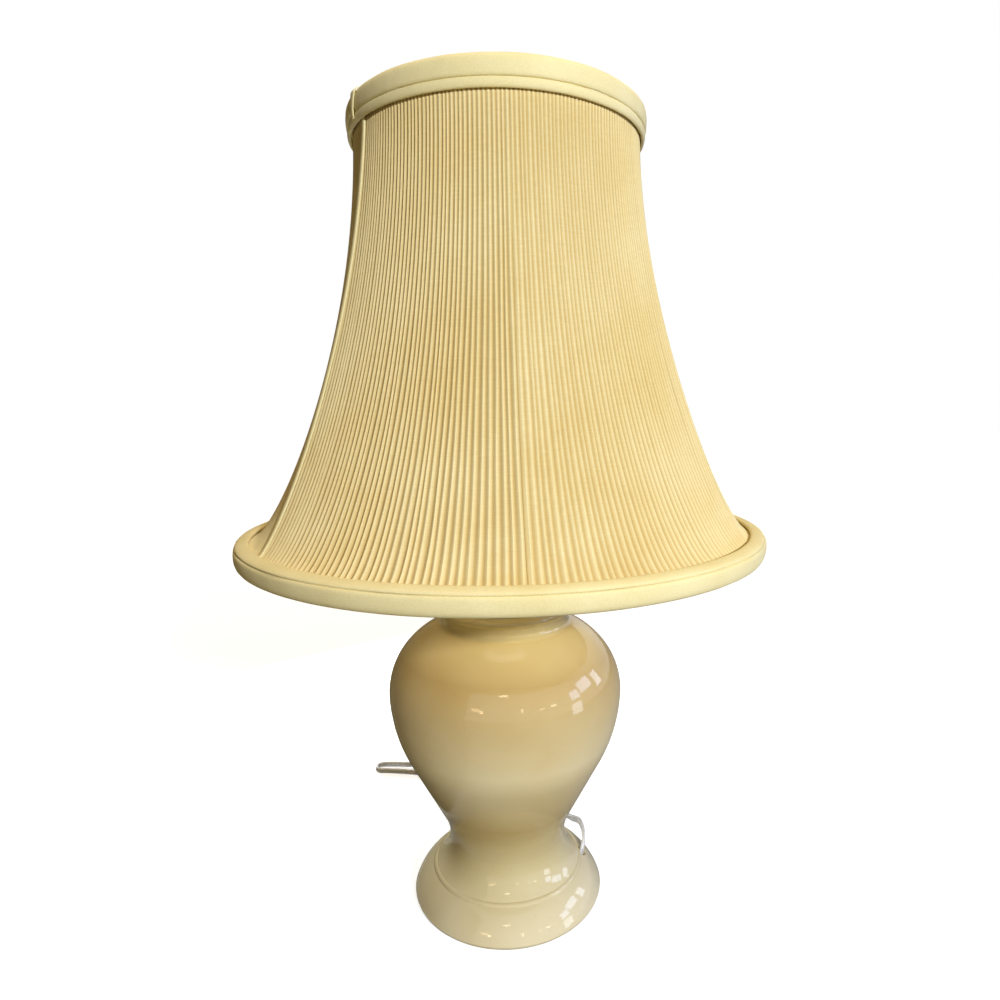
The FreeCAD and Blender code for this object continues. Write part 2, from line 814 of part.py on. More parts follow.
knob_start = size.knob_stem_reach
knob_end = knob_start + size.knob_length
knob_socket = knob_start + size.knob_length * 0.5
knob_fit = size.knob_stem_radius + size.thread_clearance
front_pointing("switch_stem", ring_corners(
    ZERO, size.knob_stem_radius, knob_inner_end, knob_socket - size.seat_gap))
front_pointing("switch_knob", [
    (knob_fit, knob_start),
    (size.knob_radius * 0.6, knob_start),
    (size.knob_radius, knob_start + size.knob_length * 0.3, size.knob_radius, 1),
    (size.knob_radius * 0.93, knob_end - 1),
    (size.knob_radius * 0.93 - 1, knob_end, Size.of(1), 1),
    (ZERO, knob_end),
    (ZERO, knob_socket),
    (knob_fit, knob_socket),
])

# ---------------------------------------------------------------- light bulb

bulb_tip = contact_top + size.bulb_seat_gap
bulb_cap_bottom = bulb_tip + size.bulb_tip_height
bulb_cap_top = bulb_cap_bottom + size.bulb_cap_length
bulb_top = bulb_tip + size.bulb_length
bulb_centre = bulb_top - size.bulb_radius
turned_body("bulb_contact", ring_corners(
    ZERO, size.bulb_tip_radius, bulb_tip, bulb_cap_bottom - size.seat_gap))
turned_body("bulb_cap", [
    (ZERO, bulb_cap_bottom),
    (size.bulb_tip_radius, bulb_cap_bottom),
    (size.bulb_cap_radius, bulb_cap_bottom + size.bulb_tip_height),
    (size.bulb_cap_radius, bulb_cap_top),
    (ZERO, bulb_cap_top),
])
glass_bottom = bulb_cap_top + size.seat_gap
turned_body("bulb_glass", [
    (ZERO, glass_bottom),
    (size.bulb_neck_radius, glass_bottom),
    (size.bulb_neck_radius + 1, glass_bottom + size.bulb_radius * 0.35),
    (size.bulb_radius, bulb_centre, size.bulb_radius * 1.8, -1),
    (ZERO, bulb_top, size.bulb_radius, 1),
])

# ---------------------------------------------------------------- bell shade

# rings and trim keep their places on the rims of the cloth
top_ring_radius = size.shade_top_radius - size.top_ring_inset
top_ring_height = size.shade_top_height + size.top_ring_rise
bottom_ring_radius = size.shade_bottom_radius + size.bottom_ring_outset
bottom_ring_height = size.shade_bottom_height - size.bottom_ring_drop
top_band_outer = size.shade_top_radius + size.top_band_outset
top_band_inner = top_band_outer - size.top_band_width
top_band_bottom = size.shade_top_height + size.top_band_lift
top_band_top = top_band_bottom + size.top_band_height
bottom_band_outer = size.shade_bottom_radius + size.bottom_band_outset
bottom_band_inner = bottom_band_outer - size.bottom_band_width
bottom_band_top = size.shade_bottom_height + size.bottom_band_lift
bottom_band_bottom = bottom_band_top - size.bottom_band_height

BELL_POLES = (
    (size.shade_top_radius.value, size.shade_top_height.value),
    (size.shade_upper_pull_radius.value, size.shade_upper_pull_height.value),
    (size.shade_lower_pull_radius.value, size.shade_lower_pull_height.value),
    (size.shade_bottom_radius.value, size.shade_bottom_height.value),
)


def bell_point(share, inset=0.0):
    """Radius and height of the rib line, moved square to it into the shade by the inset.
    Share 0 is the top rim and 1 the bottom rim."""
    rest = 1 - share
    weights = (rest ** 3, 3 * rest ** 2 * share, 3 * rest * share ** 2, share ** 3)
    slopes = (rest ** 2, 2 * rest * share, share ** 2)
    radius = sum(weight * pole[0] for weight, pole in zip(weights, BELL_POLES))
    height = sum(weight * pole[1] for weight, pole in zip(weights, BELL_POLES))
    steps = list(zip(slopes, BELL_POLES, BELL_POLES[1:]))
    out = sum(slope * (after[0] - before[0]) for slope, before, after in steps)
    down = sum(slope * (after[1] - before[1]) for slope, before, after in steps)
    length = math.hypot(out, down)
    return radius + inset * down / length, height - inset * out / length


def bell_section(share, inset):
    """Closed section of the cloth: an arc between each rib and the next, drawn flatter
    than the rims between them, where the cloth is pulled tight."""
    radius, height = bell_point(share, inset)
    sag = size.panel_sag.value * max(math.sin(math.pi * share), 0.0)
    pitch = 360.0 / SHADE_RIBS
    edges = []
    for rib in range(SHADE_RIBS):
        azimuth = size.first_rib_azimuth.value + rib * pitch
        first = around(radius, azimuth, height)
        middle = around(radius - sag, azimuth + pitch / 2, height)
        last = around(radius, azimuth + pitch, height)
        edges.append(arc_edge(first, middle, last))
    return Part.Wire(edges)


def bell_solid(inset, first_share, last_share):
    span = last_share - first_share
    shares = [first_share + span * step / (RIB_STATIONS - 1) for step in range(RIB_STATIONS)]
    return Part.makeLoft([bell_section(share, inset) for share in shares], True, False)


def bell_shell(inset, thickness, first_share, last_share):
    """Cloth of even thickness: the bell with a smaller and slightly longer bell cut out."""
    above_rim = first_share - 0.02
    return bell_solid(inset, first_share, last_share).cut(
        bell_solid(inset + thickness, above_rim, last_share))


def share_at_height(height, inset):
    """How far down the bell its moved line comes to a height."""
    low, high = 0.0, 1.0
    for _ in range(40):
        middle = (low + high) / 2
        if bell_point(middle, inset)[1] > height:
            low = middle
        else:
            high = middle
    return high


cover_inside = size.cover_thickness.value
lining_inset = cover_inside + size.lining_gap.value
shaped("shade_cover", bell_shell(0.0, cover_inside, 0.0, 1.0))
lining_top = (top_ring_height - size.ring_wire_radius - size.lining_ring_gap).value
lining_hem = (bottom_ring_height + size.lining_hem_rise + size.lining_gap / 2).value
shaped("shade_lining", bell_shell(lining_inset, size.lining_thickness.value,
                                  share_at_height(lining_top, lining_inset),
                                  share_at_height(lining_hem, lining_inset)))


def rib_path(azimuth):
    """Rib wire just inside the cloth, from the underside of the top ring to the bottom ring."""
    inset = cover_inside + size.frame_gap.value + size.rib_wire_radius.value
    reach = size.ring_wire_radius.value + size.frame_gap.value
    points = [around(top_ring_radius.value - 0.3, azimuth,
                     top_ring_height.value - reach)]
    for step in range(RIB_STATIONS):
        radius, height = bell_point(0.96 * step / (RIB_STATIONS - 1), inset)
        points.append(around(radius, azimuth, height))
    slant = reach * math.cos(math.pi / 4)
    points.append(around(bottom_ring_radius.value - slant, azimuth,
                         bottom_ring_height.value + slant))
    curve = Part.BSplineCurve()
    curve.interpolate(points)
    return Part.Wire([curve.toShape()])


rib_wires = []
for rib_number in range(SHADE_RIBS):
    rib_azimuth = size.first_rib_azimuth.value + rib_number * 360.0 / SHADE_RIBS
    rib_line = rib_path(rib_azimuth)
    rib_wires.append(round_tube(rib_line, size.rib_wire_radius.value))
for rib_number, rib_wire in enumerate(rib_wires, start=1):
    shaped("shade_rib_" + str(rib_number), rib_wire)


def ring_torus(label, radius, height):
    ring = doc.addObject("Part::Torus", "Ring_" + label)
    ring.setExpression("Radius1", radius.text)
    ring.setExpression("Radius2", size.ring_wire_radius.text)
    raise_to(ring, height)
    return keep(label, ring)


ring_torus("shade_top_ring", top_ring_radius, top_ring_height)
ring_torus("shade_bottom_ring", bottom_ring_radius, bottom_ring_height)

spider_bottom = stud_flange_top + size.seat_gap
spider_top = spider_bottom + size.spider_washer_thickness


def make_spider():
    """Washer for the harp stud with three wire arms that rise to the top ring."""
    bottom = spider_bottom.value
    thickness = size.spider_washer_thickness.value
    wire = size.spider_wire_radius.value
    outer = size.spider_washer_radius.value
    washer = Part.makeCylinder(outer, thickness, Vector(0, 0, bottom))
    arms = []
    for arm in range(SPIDER_ARMS):
        azimuth = size.first_rib_azimuth.value + 30 + arm * 360.0 / SPIDER_ARMS
        ring_inside = (top_ring_radius - size.ring_wire_radius - size.frame_gap).value
        points = [
            around(outer * 0.8, azimuth, bottom + thickness / 2 + wire * 0.6),
            around(outer * 2.6, azimuth, bottom + thickness / 2 + wire * 0.6),
            around(top_band_inner.value - 6, azimuth, top_ring_height.value),
            around(ring_inside, azimuth, top_ring_height.value),
        ]
        path, _ = rounded_path(points)
        arms.append(round_tube(path, wire))
    hole = Part.makeCylinder(size.stud_radius.value + size.spider_fit_gap.value,
                             thickness * 6, Vector(0, 0, bottom - thickness))
    return washer.fuse(arms).cut(hole).removeSplitter()


shaped("shade_spider", make_spider())

# ---------------------------------------------------------------- trim of the shade

skin = size.band_skin
band_hollow_top = top_band_top - skin
top_band_lip_bottom = top_band_top - size.top_band_lip
bottom_band_lip_top = bottom_band_bottom + size.bottom_band_lip
turned_body("top_band", [
    (top_band_inner, top_band_lip_bottom),
    (top_band_inner + skin, top_band_lip_bottom),
    (top_band_inner + skin, band_hollow_top - 1),
    (top_band_inner + skin + 1, band_hollow_top),
    (top_band_outer - skin - 1, band_hollow_top),
    (top_band_outer - skin, band_hollow_top - 1),
    (top_band_outer - skin, top_band_bottom),
    (top_band_outer - 0.6, top_band_bottom),
    (top_band_outer, top_band_bottom + 3, Size.of(6), 1),
    (top_band_outer - 0.3, top_band_top - 3, Size.of(22), 1),
    (top_band_outer - 3, top_band_top, Size.of(3.2), 1),
    (top_band_inner + 2.5, top_band_top),
    (top_band_inner, top_band_top - 2.5, Size.of(2.5), 1),
])
top_roll_top = top_band_bottom - size.trim_gap
top_roll_bottom = top_roll_top - size.top_roll_height
top_roll_inner = size.shade_top_radius + 0.55
top_roll_outer = size.shade_top_radius + size.top_roll_outset
turned_body("top_roll", [
    (top_roll_inner, top_roll_bottom),
    (top_roll_outer - 0.6, top_roll_bottom + 0.4),
    (top_roll_outer - 0.6, top_roll_top - 0.4, size.top_roll_height * 0.8, 1),
    (top_roll_inner, top_roll_top),
])
bottom_roll_seat = bottom_band_top + size.trim_gap
bottom_roll_inner = size.shade_bottom_radius - size.bottom_roll_inset
bottom_roll_outer = size.shade_bottom_radius + size.bottom_roll_outset
bottom_roll_top = size.shade_bottom_height + size.bottom_roll_rise
turned_body("bottom_roll", [
    (bottom_roll_inner, bottom_roll_top - 1.2),
    (bottom_roll_inner + 1.6, bottom_roll_seat),
    (bottom_roll_outer, bottom_roll_seat),
    (bottom_roll_outer - 1, bottom_roll_seat + 0.9, Size.of(1.2), 1),
    (bottom_roll_inner + 0.3, bottom_roll_top, Size.of(24), 1),
])
turned_body("bottom_band", [
    (bottom_band_inner, bottom_band_bottom + 2.5),
    (bottom_band_inner + 2.5, bottom_band_bottom, Size.of(2.5), 1),
    (bottom_band_outer - 3, bottom_band_bottom),
    (bottom_band_outer, bottom_band_bottom + 4, Size.of(4.2), 1),
    (bottom_band_outer - 1, bottom_band_top, Size.of(14), 1),
    (bottom_band_outer - skin - 1.2, bottom_band_top),
    (bottom_band_outer - skin, bottom_band_bottom + 4),
    (bottom_band_outer - skin - 1.6, bottom_band_bottom + skin),
    (bottom_band_inner + skin + 1, bottom_band_bottom + skin),
    (bottom_band_inner + skin, bottom_band_bottom + 2.5),
    (bottom_band_inner + skin, bottom_band_lip_top),
    (bottom_band_inner, bottom_band_lip_top),
])


def seam_shape():
    """Flat folded strip that covers the joint of the cloth along one rib."""
    azimuth = size.first_rib_azimuth.value - 360.0 / SHADE_RIBS
    lift = size.trim_gap.value
    rise = lift + size.seam_thickness.value
    sections = []
    for step in range(RIB_STATIONS):
        share = 0.02 + 0.88 * step / (RIB_STATIONS - 1)
        low_radius, low_height = bell_point(share, -lift)
        high_radius, high_height = bell_point(share, -rise)
        half_angle = math.degrees(size.seam_width.value / 2 / low_radius)
        corners = [
            around(low_radius, azimuth - half_angle, low_height),
            around(high_radius, azimuth - half_angle, high_height),
            around(high_radius, azimuth + half_angle, high_height),
            around(low_radius, azimuth + half_angle, low_height),
        ]
        sections.append(Part.makePolygon(corners + [corners[0]]))
    return Part.makeLoft(sections, True, False)


shaped("cover_seam", seam_shape())


def trim_tab():
    """Loose end of the wide trim, lapped over itself at the joint."""
    azimuth = size.trim_tab_azimuth.value
    outer = top_band_outer.value + size.trim_gap.value
    half_angle = math.degrees(size.trim_tab_width.value / 2 / outer)
    thick = size.trim_tab_thickness.value
    foot = top_band_bottom.value - size.top_roll_height.value * 0.8
    top = top_band_top.value
    stations = ((foot, 0.45, 0.5), (foot + 5, 0.8, 0.75), (top - 5, 1.0, 1.0), (top - 0.6, 0.6, 0.6))
    sections = []
    for height, width_share, depth_share in stations:
        span = half_angle * width_share
        crown = around(outer + thick * depth_share, azimuth, height)
        left = around(outer, azimuth - span, height)
        right = around(outer, azimuth + span, height)
        sections.append(Part.Wire([arc_edge(left, crown, right), line_edge(right, left)]))
    return Part.makeLoft(sections, True, False)


shaped("trim_tab", trim_tab())

# ---------------------------------------------------------------- finial

finial_bottom = spider_top + size.seat_gap
finial_top = finial_bottom + size.finial_height
finial_ball = finial_top - size.finial_radius
finial_bore = size.stud_radius + size.thread_clearance
finial_bore_top = stud_top + size.trim_gap
turned_body("finial", [
    (finial_bore, finial_bottom),
    (size.finial_base_radius, finial_bottom),
    (size.finial_base_radius, finial_bottom + 2.5),
    (size.finial_stem_radius + 0.8, finial_bottom + 7, Size.of(5.5), -1),
    (size.finial_stem_radius + 0.8, finial_bottom + 9),
    (size.finial_radius, finial_ball, size.finial_radius * 1.05, 1),
    (ZERO, finial_top, size.finial_radius, 1),
    (ZERO, finial_bore_top),
    (finial_bore, finial_bore_top),
])

# ---------------------------------------------------------------- cord inside the lamp

cord_radius = size.cord_radius.value


def inner_cord_path():
    """From the socket down the pipe, across the foot and up to the hole in the dome."""
    low = size.felt_thickness.value + cord_radius + 2.5
    corner = exit_point - exit_direction * ((exit_point.z - low) / exit_direction.z)
    points = [Vector(0, 0, block_bottom.value - 1), Vector(0, 0, low), corner, exit_point]
    path, bends = rounded_path(points, 6 * cord_radius)
    print("inner cord bends", [round(bend, 1) for bend in bends])
    return path


inner_line = inner_cord_path()
inner_cord = round_tube(inner_line, cord_radius)
report_tube("inner cord", inner_cord, inner_line, cord_radius)
shaped("cord_inside", inner_cord)

# ---------------------------------------------------------------- cord outside: hank

floor_line = size.cord_floor_height.value
hank_x = size.hank_centre_x.value
hank_y = size.hank_centre_y.value
hank_half_run = size.hank_run.value / 2
inner_turn = size.hank_inner_radius.value
turn_step = size.hank_step.value
outer_turn = inner_turn + HANK_TURNS * turn_step
hank_low = floor_line
hank_high = floor_line + size.hank_layer_step.value


def half_turn(x, first_y, last_y, height):
    """Fold at one end of the hank, from one run to the next. It bulges away from the middle."""
    radius = abs(last_y - first_y) / 2
    side = 1 if x > hank_x else -1
    middle = Vector(x + side * radius, (first_y + last_y) / 2, height)
    return arc_edge(Vector(x, first_y, height), middle, Vector(x, last_y, height))


def eased(share):
    """Smooth step from 0 to 1 made of two parabolas."""
    if share < 0.5:
        return 2 * share * share
    return 1 - 2 * (1 - share) ** 2


def waisted_run(first, last):
    """One run of the hank, drawn in towards the tie at its middle, in four bows."""
    draw = size.hank_waist_draw.value * (1 if first.y < hank_y else -1)

    def station(share):
        drawn = eased(2 * share) if share < 0.5 else eased(2 - 2 * share)
        return Vector(first.x + (last.x - first.x) * share, first.y + draw * drawn,
                      first.z + (last.z - first.z) * eased(share))

    quarters = (0.0, 0.25, 0.5, 0.75)
    return [arc_edge(station(at), station(at + 0.125), station(at + 0.25)) for at in quarters]


def hank_path():
    """Spiral in on the lower layer, climb along the innermost front run, spiral out again
    on the upper layer. The cord joins it a quarter of the way along the first run."""
    left_x = hank_x - hank_half_run
    right_x = hank_x + hank_half_run
    edges = []
    for turn in range(HANK_TURNS, 0, -1):
        front = hank_y - (inner_turn + turn * turn_step)
        back = hank_y + inner_turn + (turn - 1) * turn_step
        next_front = front + turn_step
        edges += waisted_run(Vector(right_x, front, hank_low), Vector(left_x, front, hank_low))
        edges.append(half_turn(left_x, front, back, hank_low))
        edges += waisted_run(Vector(left_x, back, hank_low), Vector(right_x, back, hank_low))
        edges.append(half_turn(right_x, back, next_front, hank_low))
    front = hank_y - inner_turn
    edges += waisted_run(Vector(right_x, front, hank_low), Vector(left_x, front, hank_high))
    for turn in range(HANK_TURNS + 1):
        back = hank_y + inner_turn + turn * turn_step
        edges.append(half_turn(left_x, front, back, hank_high))
        edges += waisted_run(Vector(left_x, back, hank_high), Vector(right_x, back, hank_high))
        if turn < HANK_TURNS:
            front = front - turn_step
            edges.append(half_turn(right_x, back, front, hank_high))
            edges += waisted_run(Vector(right_x, front, hank_high),
                                 Vector(left_x, front, hank_high))
    return Part.Wire(edges[1:])


def least_gap(path, radius):
    """Least clear distance between stretches of a tube that aren't neighbours."""
    count = int(path.Length / 3)
    points = path.discretize(Number=count)
    spacing = path.Length / (count - 1)
    apart = int(8 * radius / spacing) + 1
    best = 1e9
    for index in range(len(points) - apart):
        for other in range(index + apart, len(points)):
            best = min(best, points[index].distanceToPoint(points[other]))
    return best - 2 * radius


hank_line = hank_path()
hank_tube = round_tube(hank_line, cord_radius)
report_tube("hank", hank_tube, hank_line, cord_radius)
print("hank least gap", round(least_gap(hank_line, cord_radius), 2))
shaped("cord_hank", hank_tube)
hank_start = hank_line.Edges[0].valueAt(hank_line.Edges[0].FirstParameter)
hank_heading = start_direction(hank_line)
hank_end = Vector(hank_x + hank_half_run, hank_y + outer_turn, hank_high)


def make_tie():
    """Flat band round the waist of the hank."""
    gap = size.tie_gap.value
    wall = size.tie_thickness.value
    reach = outer_turn - size.hank_waist_draw.value + cord_radius + gap
    bottom = floor_line - cord_radius - gap
    top = hank_end.z + cord_radius + gap
    width = size.tie_width.value
    start = Vector(hank_x - width / 2, hank_y - reach, bottom)
    hollow = Part.makeBox(width, 2 * reach, top - bottom, start)
    outer = Part.makeBox(width, 2 * reach + 2 * wall, top - bottom + 2 * wall * 0.6,
                         start - Vector(0, wall, wall * 0.6))
    long_edges = [edge for edge in outer.Edges if abs(edge.tangentAt(0).x) > 0.9]
    return outer.makeFillet(wall * 1.5, long_edges).cut(hollow)


shaped("hank_tie", make_tie())

# ---------------------------------------------------------------- cord outside: lead

LEAD_POINTS = [
    exit_point,
    exit_point + exit_direction * 9,
    Vector(63.8, 24, 25.4),
    Vector(65.3, 40, 15),
    Vector(65.2, 54, 5.6),
    Vector(62, 68, floor_line),
    Vector(54, 80, floor_line),
    hank_start - hank_heading * 12,
    hank_start,
]
lead_line, lead_bends = rounded_path(LEAD_POINTS)
print("lead bends", [round(bend, 1) for bend in lead_bends])
lead_tube = round_tube(lead_line, cord_radius)
report_tube("lead", lead_tube, lead_line, cord_radius)
shaped("cord_lead", lead_tube)

# ---------------------------------------------------------------- cord outside: tail and plug

return_turn = 13.4
return_centre = hank_end + Vector(2, return_turn, 0)
return_corners = turn_corners(return_centre, return_turn, -67.5, 4, 45)
for return_corner, drop in zip(return_corners, (0.0, 1.6, 4.0, hank_high - floor_line)):
    return_corner.z = hank_high - drop
fold_turn = 6.7
fold_centre = Vector(-126.3, 167.2, floor_line)
fold_corners = turn_corners(fold_centre, fold_turn, 247.5, 4, -45)
plug_entry = Vector(-84, 170.6, size.plug_height.value / 2)
TAIL_POINTS = [hank_end] + return_corners + [
    Vector(38, 153.8, floor_line),
    Vector(8, 152.8, floor_line),
    Vector(-32, 152.2, floor_line),
    Vector(-72, 154.8, floor_line),
    Vector(-100, 158.4, floor_line),
    Vector(-118, 160.3, floor_line),
] + fold_corners + [
    Vector(-118, 174.3, floor_line),
    Vector(-102, 172.9, 3.2),
    plug_entry,
]
tail_line, tail_bends = rounded_path(TAIL_POINTS)
print("tail bends", [round(bend, 1) for bend in tail_bends])
tail_tube = round_tube(tail_line, cord_radius)
report_tube("tail", tail_tube, tail_line, cord_radius)
shaped("cord_tail", tail_tube)


def make_plug():
    """Moulded flat plug, lofted from a narrow cord end to a wide face."""
    length = size.plug_length.value
    stations = ((0.0, size.plug_nose_width.value * 0.55, 0.62),
                (0.35, size.plug_nose_width.value, 0.85),
                (0.6, size.plug_width.value, 1.0), (1.0, size.plug_width.value, 1.0))
    sections = []
    for share, width, height_share in stations:
        height = size.plug_height.value * height_share
        half_side = width / 2 - height / 2 * 0.6
        half_height = height / 2
        x = plug_entry.x + share * length
        centre = Vector(x, plug_entry.y, plug_entry.z)
        side = width / 2
        edges = [
            line_edge(centre + Vector(0, -half_side, half_height),
                      centre + Vector(0, half_side, half_height)),
            arc_edge(centre + Vector(0, half_side, half_height), centre + Vector(0, side, 0),
                     centre + Vector(0, half_side, -half_height)),
            line_edge(centre + Vector(0, half_side, -half_height),
                      centre + Vector(0, -half_side, -half_height)),
            arc_edge(centre + Vector(0, -half_side, -half_height), centre + Vector(0, -side, 0),
                     centre + Vector(0, -half_side, half_height)),
        ]
        sections.append(Part.Wire(edges))
    return Part.makeLoft(sections, True, True)


def make_blades():
    """Two flat contact blades with a round hole near each tip."""
    length = size.plug_blade_length.value
    thickness = size.plug_blade_thickness.value
    width = size.plug_blade_width.value
    blades = []
    for side in (-1, 1):
        centre_y = plug_entry.y + side * size.plug_blade_spacing.value / 2
        start = Vector(plug_entry.x + size.plug_length.value, centre_y - thickness / 2,
                       plug_entry.z - width / 2)
        blade = Part.makeBox(length, thickness, width, start)
        tip_edges = [edge for edge in blade.Edges
                     if abs(edge.tangentAt(0).y) > 0.9 and edge.CenterOfMass.x > start.x + 1]
        blade = blade.makeFillet(width * 0.3, tip_edges)
        hole = Part.makeCylinder(width / 4, thickness * 3,
                                 Vector(start.x + length * 0.75, centre_y - thickness * 1.5,
                                        plug_entry.z), Vector(0, 1, 0))
        blades.append(blade.cut(hole))
    return Part.makeCompound(blades)


shaped("plug_body", make_plug())
shaped("plug_blades", make_blades())

# ---------------------------------------------------------------- check and write

doc.recompute()
failed = [thing.Label for thing in doc.Objects
          if "Invalid" in thing.State or "Error" in thing.State]
if failed:
    raise RuntimeError("failed objects: " + ", ".join(failed))
for sub_part in sub_parts:
    if sub_part.Shape.isNull() or not sub_part.Shape.isValid():
        raise RuntimeError("bad shape: " + sub_part.Label)

os.makedirs("parts", exist_ok=True)
for sub_part in sub_parts:
    sub_part.Shape.exportStep("parts/" + sub_part.Label + ".step")
print("nodes", len(sub_parts))
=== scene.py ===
import math
import random

import bmesh
import bpy
from mathutils import Matrix, Vector, noise


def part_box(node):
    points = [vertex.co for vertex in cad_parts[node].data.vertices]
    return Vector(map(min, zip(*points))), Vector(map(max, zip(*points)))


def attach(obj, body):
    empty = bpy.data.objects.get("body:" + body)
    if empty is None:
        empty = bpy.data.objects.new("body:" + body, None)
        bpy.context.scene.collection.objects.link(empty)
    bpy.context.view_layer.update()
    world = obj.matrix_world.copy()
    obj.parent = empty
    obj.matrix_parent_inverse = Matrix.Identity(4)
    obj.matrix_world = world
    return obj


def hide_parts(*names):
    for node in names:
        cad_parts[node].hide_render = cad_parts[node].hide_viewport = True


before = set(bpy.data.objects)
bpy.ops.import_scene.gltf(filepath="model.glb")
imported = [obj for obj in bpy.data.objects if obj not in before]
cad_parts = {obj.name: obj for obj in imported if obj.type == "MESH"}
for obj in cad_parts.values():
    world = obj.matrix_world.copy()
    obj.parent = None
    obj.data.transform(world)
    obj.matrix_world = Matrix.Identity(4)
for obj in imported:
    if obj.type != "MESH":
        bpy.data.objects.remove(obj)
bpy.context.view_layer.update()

# ---- Felt pad
# Disc of pressed wool felt glued under the foot, so that the glaze doesn't mark the table.
# It is die-cut, with a soft edge and loose fibres.


def linear(code):
    """Linear colour of an sRGB hex value."""
    parts = [int(code[at:at + 2], 16) / 255 for at in (1, 3, 5)]
    return [part / 12.92 if part <= 0.04045 else ((part + 0.055) / 1.055) ** 2.4
            for part in parts] + [1.0]


def feed(node, inputs):
    """Sets inputs of a node to values or sockets, or to the first output of other nodes."""
    for name, value in inputs.items():
        if isinstance(value, bpy.types.Node):
            value = value.outputs[0]
        if isinstance(value, bpy.types.NodeSocket):
            node.id_data.links.new(value, node.inputs[name])
        else:
            node.inputs[name].default_value = value


def add(material, kind, inputs=None, stops=(), **settings):
    """Adds one shader node, to a material or the world, with its settings and links. Stops
    are the places and hex colours of a ramp."""
    made = material.node_tree.nodes.new("ShaderNode" + kind)
    for name, value in settings.items():
        setattr(made, name, value)
    feed(made, inputs or {})
    for at, (position, code) in enumerate(stops):
        band = made.color_ramp.elements
        element = band[at] if at < len(band) else band.new(position)
        element.position = position
        element.color = linear(code)
    return made


def surface(name, **inputs):
    """New material with one Principled shader. Returns the material and the shader."""
    material = bpy.data.materials.new(name)
    material.use_nodes = True
    shader = material.node_tree.nodes["Principled BSDF"]
    feed(shader, {socket.replace("_", " "): value for socket, value in inputs.items()})
    return material, shader


def piece(name, shape, material):
    """Turns a bmesh into a named, smoothly shaded piece of the lamp."""
    for face in shape.faces:
        face.smooth = True
    mesh = bpy.data.meshes.new(name)
    shape.to_mesh(mesh)
    shape.free()
    mesh.materials.append(material)
    made = bpy.data.objects.new(name, mesh)
    bpy.context.collection.objects.link(made)
    return made


# Pressed wool: dull, with a soft bloom at its edge.
wool_felt, felt_shader = surface("wool_felt", Roughness=0.95, Sheen_Weight=0.35)
felt_space = add(wool_felt, "TexCoord").outputs["Object"]
# Fibres 0.3 mm thick and 3 mm long, in soft clumps 6 mm across.
felt_lay = add(wool_felt, "Mapping", {"Vector": felt_space, "Scale": (1, 0.25, 1)})
felt_fibres = add(wool_felt, "TexNoise", {"Vector": felt_lay, "Scale": 1600, "Detail": 4,
                                          "Roughness": 0.55})
felt_clumps = add(wool_felt, "TexNoise", {"Vector": felt_space, "Scale": 160, "Detail": 2,
                                          "Roughness": 0.55})
felt_mix = add(wool_felt, "Math", {0: felt_fibres, 1: felt_clumps}, operation="MULTIPLY")
felt_tone = add(wool_felt, "ValToRGB", {"Fac": felt_mix},
                stops=[(0.12, "#2f3a2c"), (0.45, "#5d6a52")])
felt_nap = add(wool_felt, "Bump", {"Height": felt_fibres, "Distance": 0.0004,
                                   "Strength": 0.8})
feed(felt_shader, {"Base Color": felt_tone, "Normal": felt_nap})

felt_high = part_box("base_felt")[1]
pad = bmesh.new()
bmesh.ops.create_circle(pad, cap_ends=True, segments=128, radius=felt_high.x)
raised = bmesh.ops.extrude_face_region(pad, geom=pad.faces[:])["geom"]
top_verts = [item for item in raised if isinstance(item, bmesh.types.BMVert)]
bmesh.ops.translate(pad, vec=(0, 0, felt_high.z), verts=top_verts)
bmesh.ops.recalc_face_normals(pad, faces=pad.faces)
rim_edges = [edge for edge in pad.edges
             if abs(edge.verts[0].co.z - edge.verts[1].co.z) < 1e-6]
bmesh.ops.bevel(pad, geom=rim_edges, offset=0.0004, segments=2, profile=0.5,
                affect="EDGES", material=-1)
felt_pad = piece("felt_pad", pad, wool_felt)
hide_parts("base_felt")
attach(felt_pad, "base")

# ---- Glazed jar
# Ginger jar of slip-cast earthenware, dipped in a thick cream glaze that darkens where it has
# gathered, with painted shade and light by height over it.


def dress(material, *names):
    """Gives CAD nodes their finish."""
    for name in names:
        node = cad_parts[name]
        node.data.materials.clear()
        node.data.materials.append(material)


# A glass-like coat over the clay: sharp reflections on a soft, clouded cream.
cream_glaze, glaze_shader = surface("cream_glaze", Roughness=0.07, IOR=1.5)
glaze_space = add(cream_glaze, "TexCoord").outputs["Object"]
# The glaze lies thin over the foot and the belly, thick in the waist and on the shoulder. Over
# that, the colour by height is painted shade and light: paler on the foot and mid belly,
# darker low on the body, which turns from the light, and on the shoulder, in the lampshade's
# shadow.
glaze_place = add(cream_glaze, "SeparateXYZ", {0: glaze_space})
glaze_rise = add(cream_glaze, "MapRange", {"Value": glaze_place.outputs["Z"],
                                           "From Max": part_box("jar_body")[1].z})
glaze_depth_and_shade = add(cream_glaze, "ValToRGB", {"Fac": glaze_rise},
                  stops=[(0.02, "#f4eac6"), (0.16, "#e0d4a6"), (0.34, "#c0ab74"),
                         (0.58, "#eddeb0"), (0.84, "#c4aa70"), (0.97, "#e8d594")])
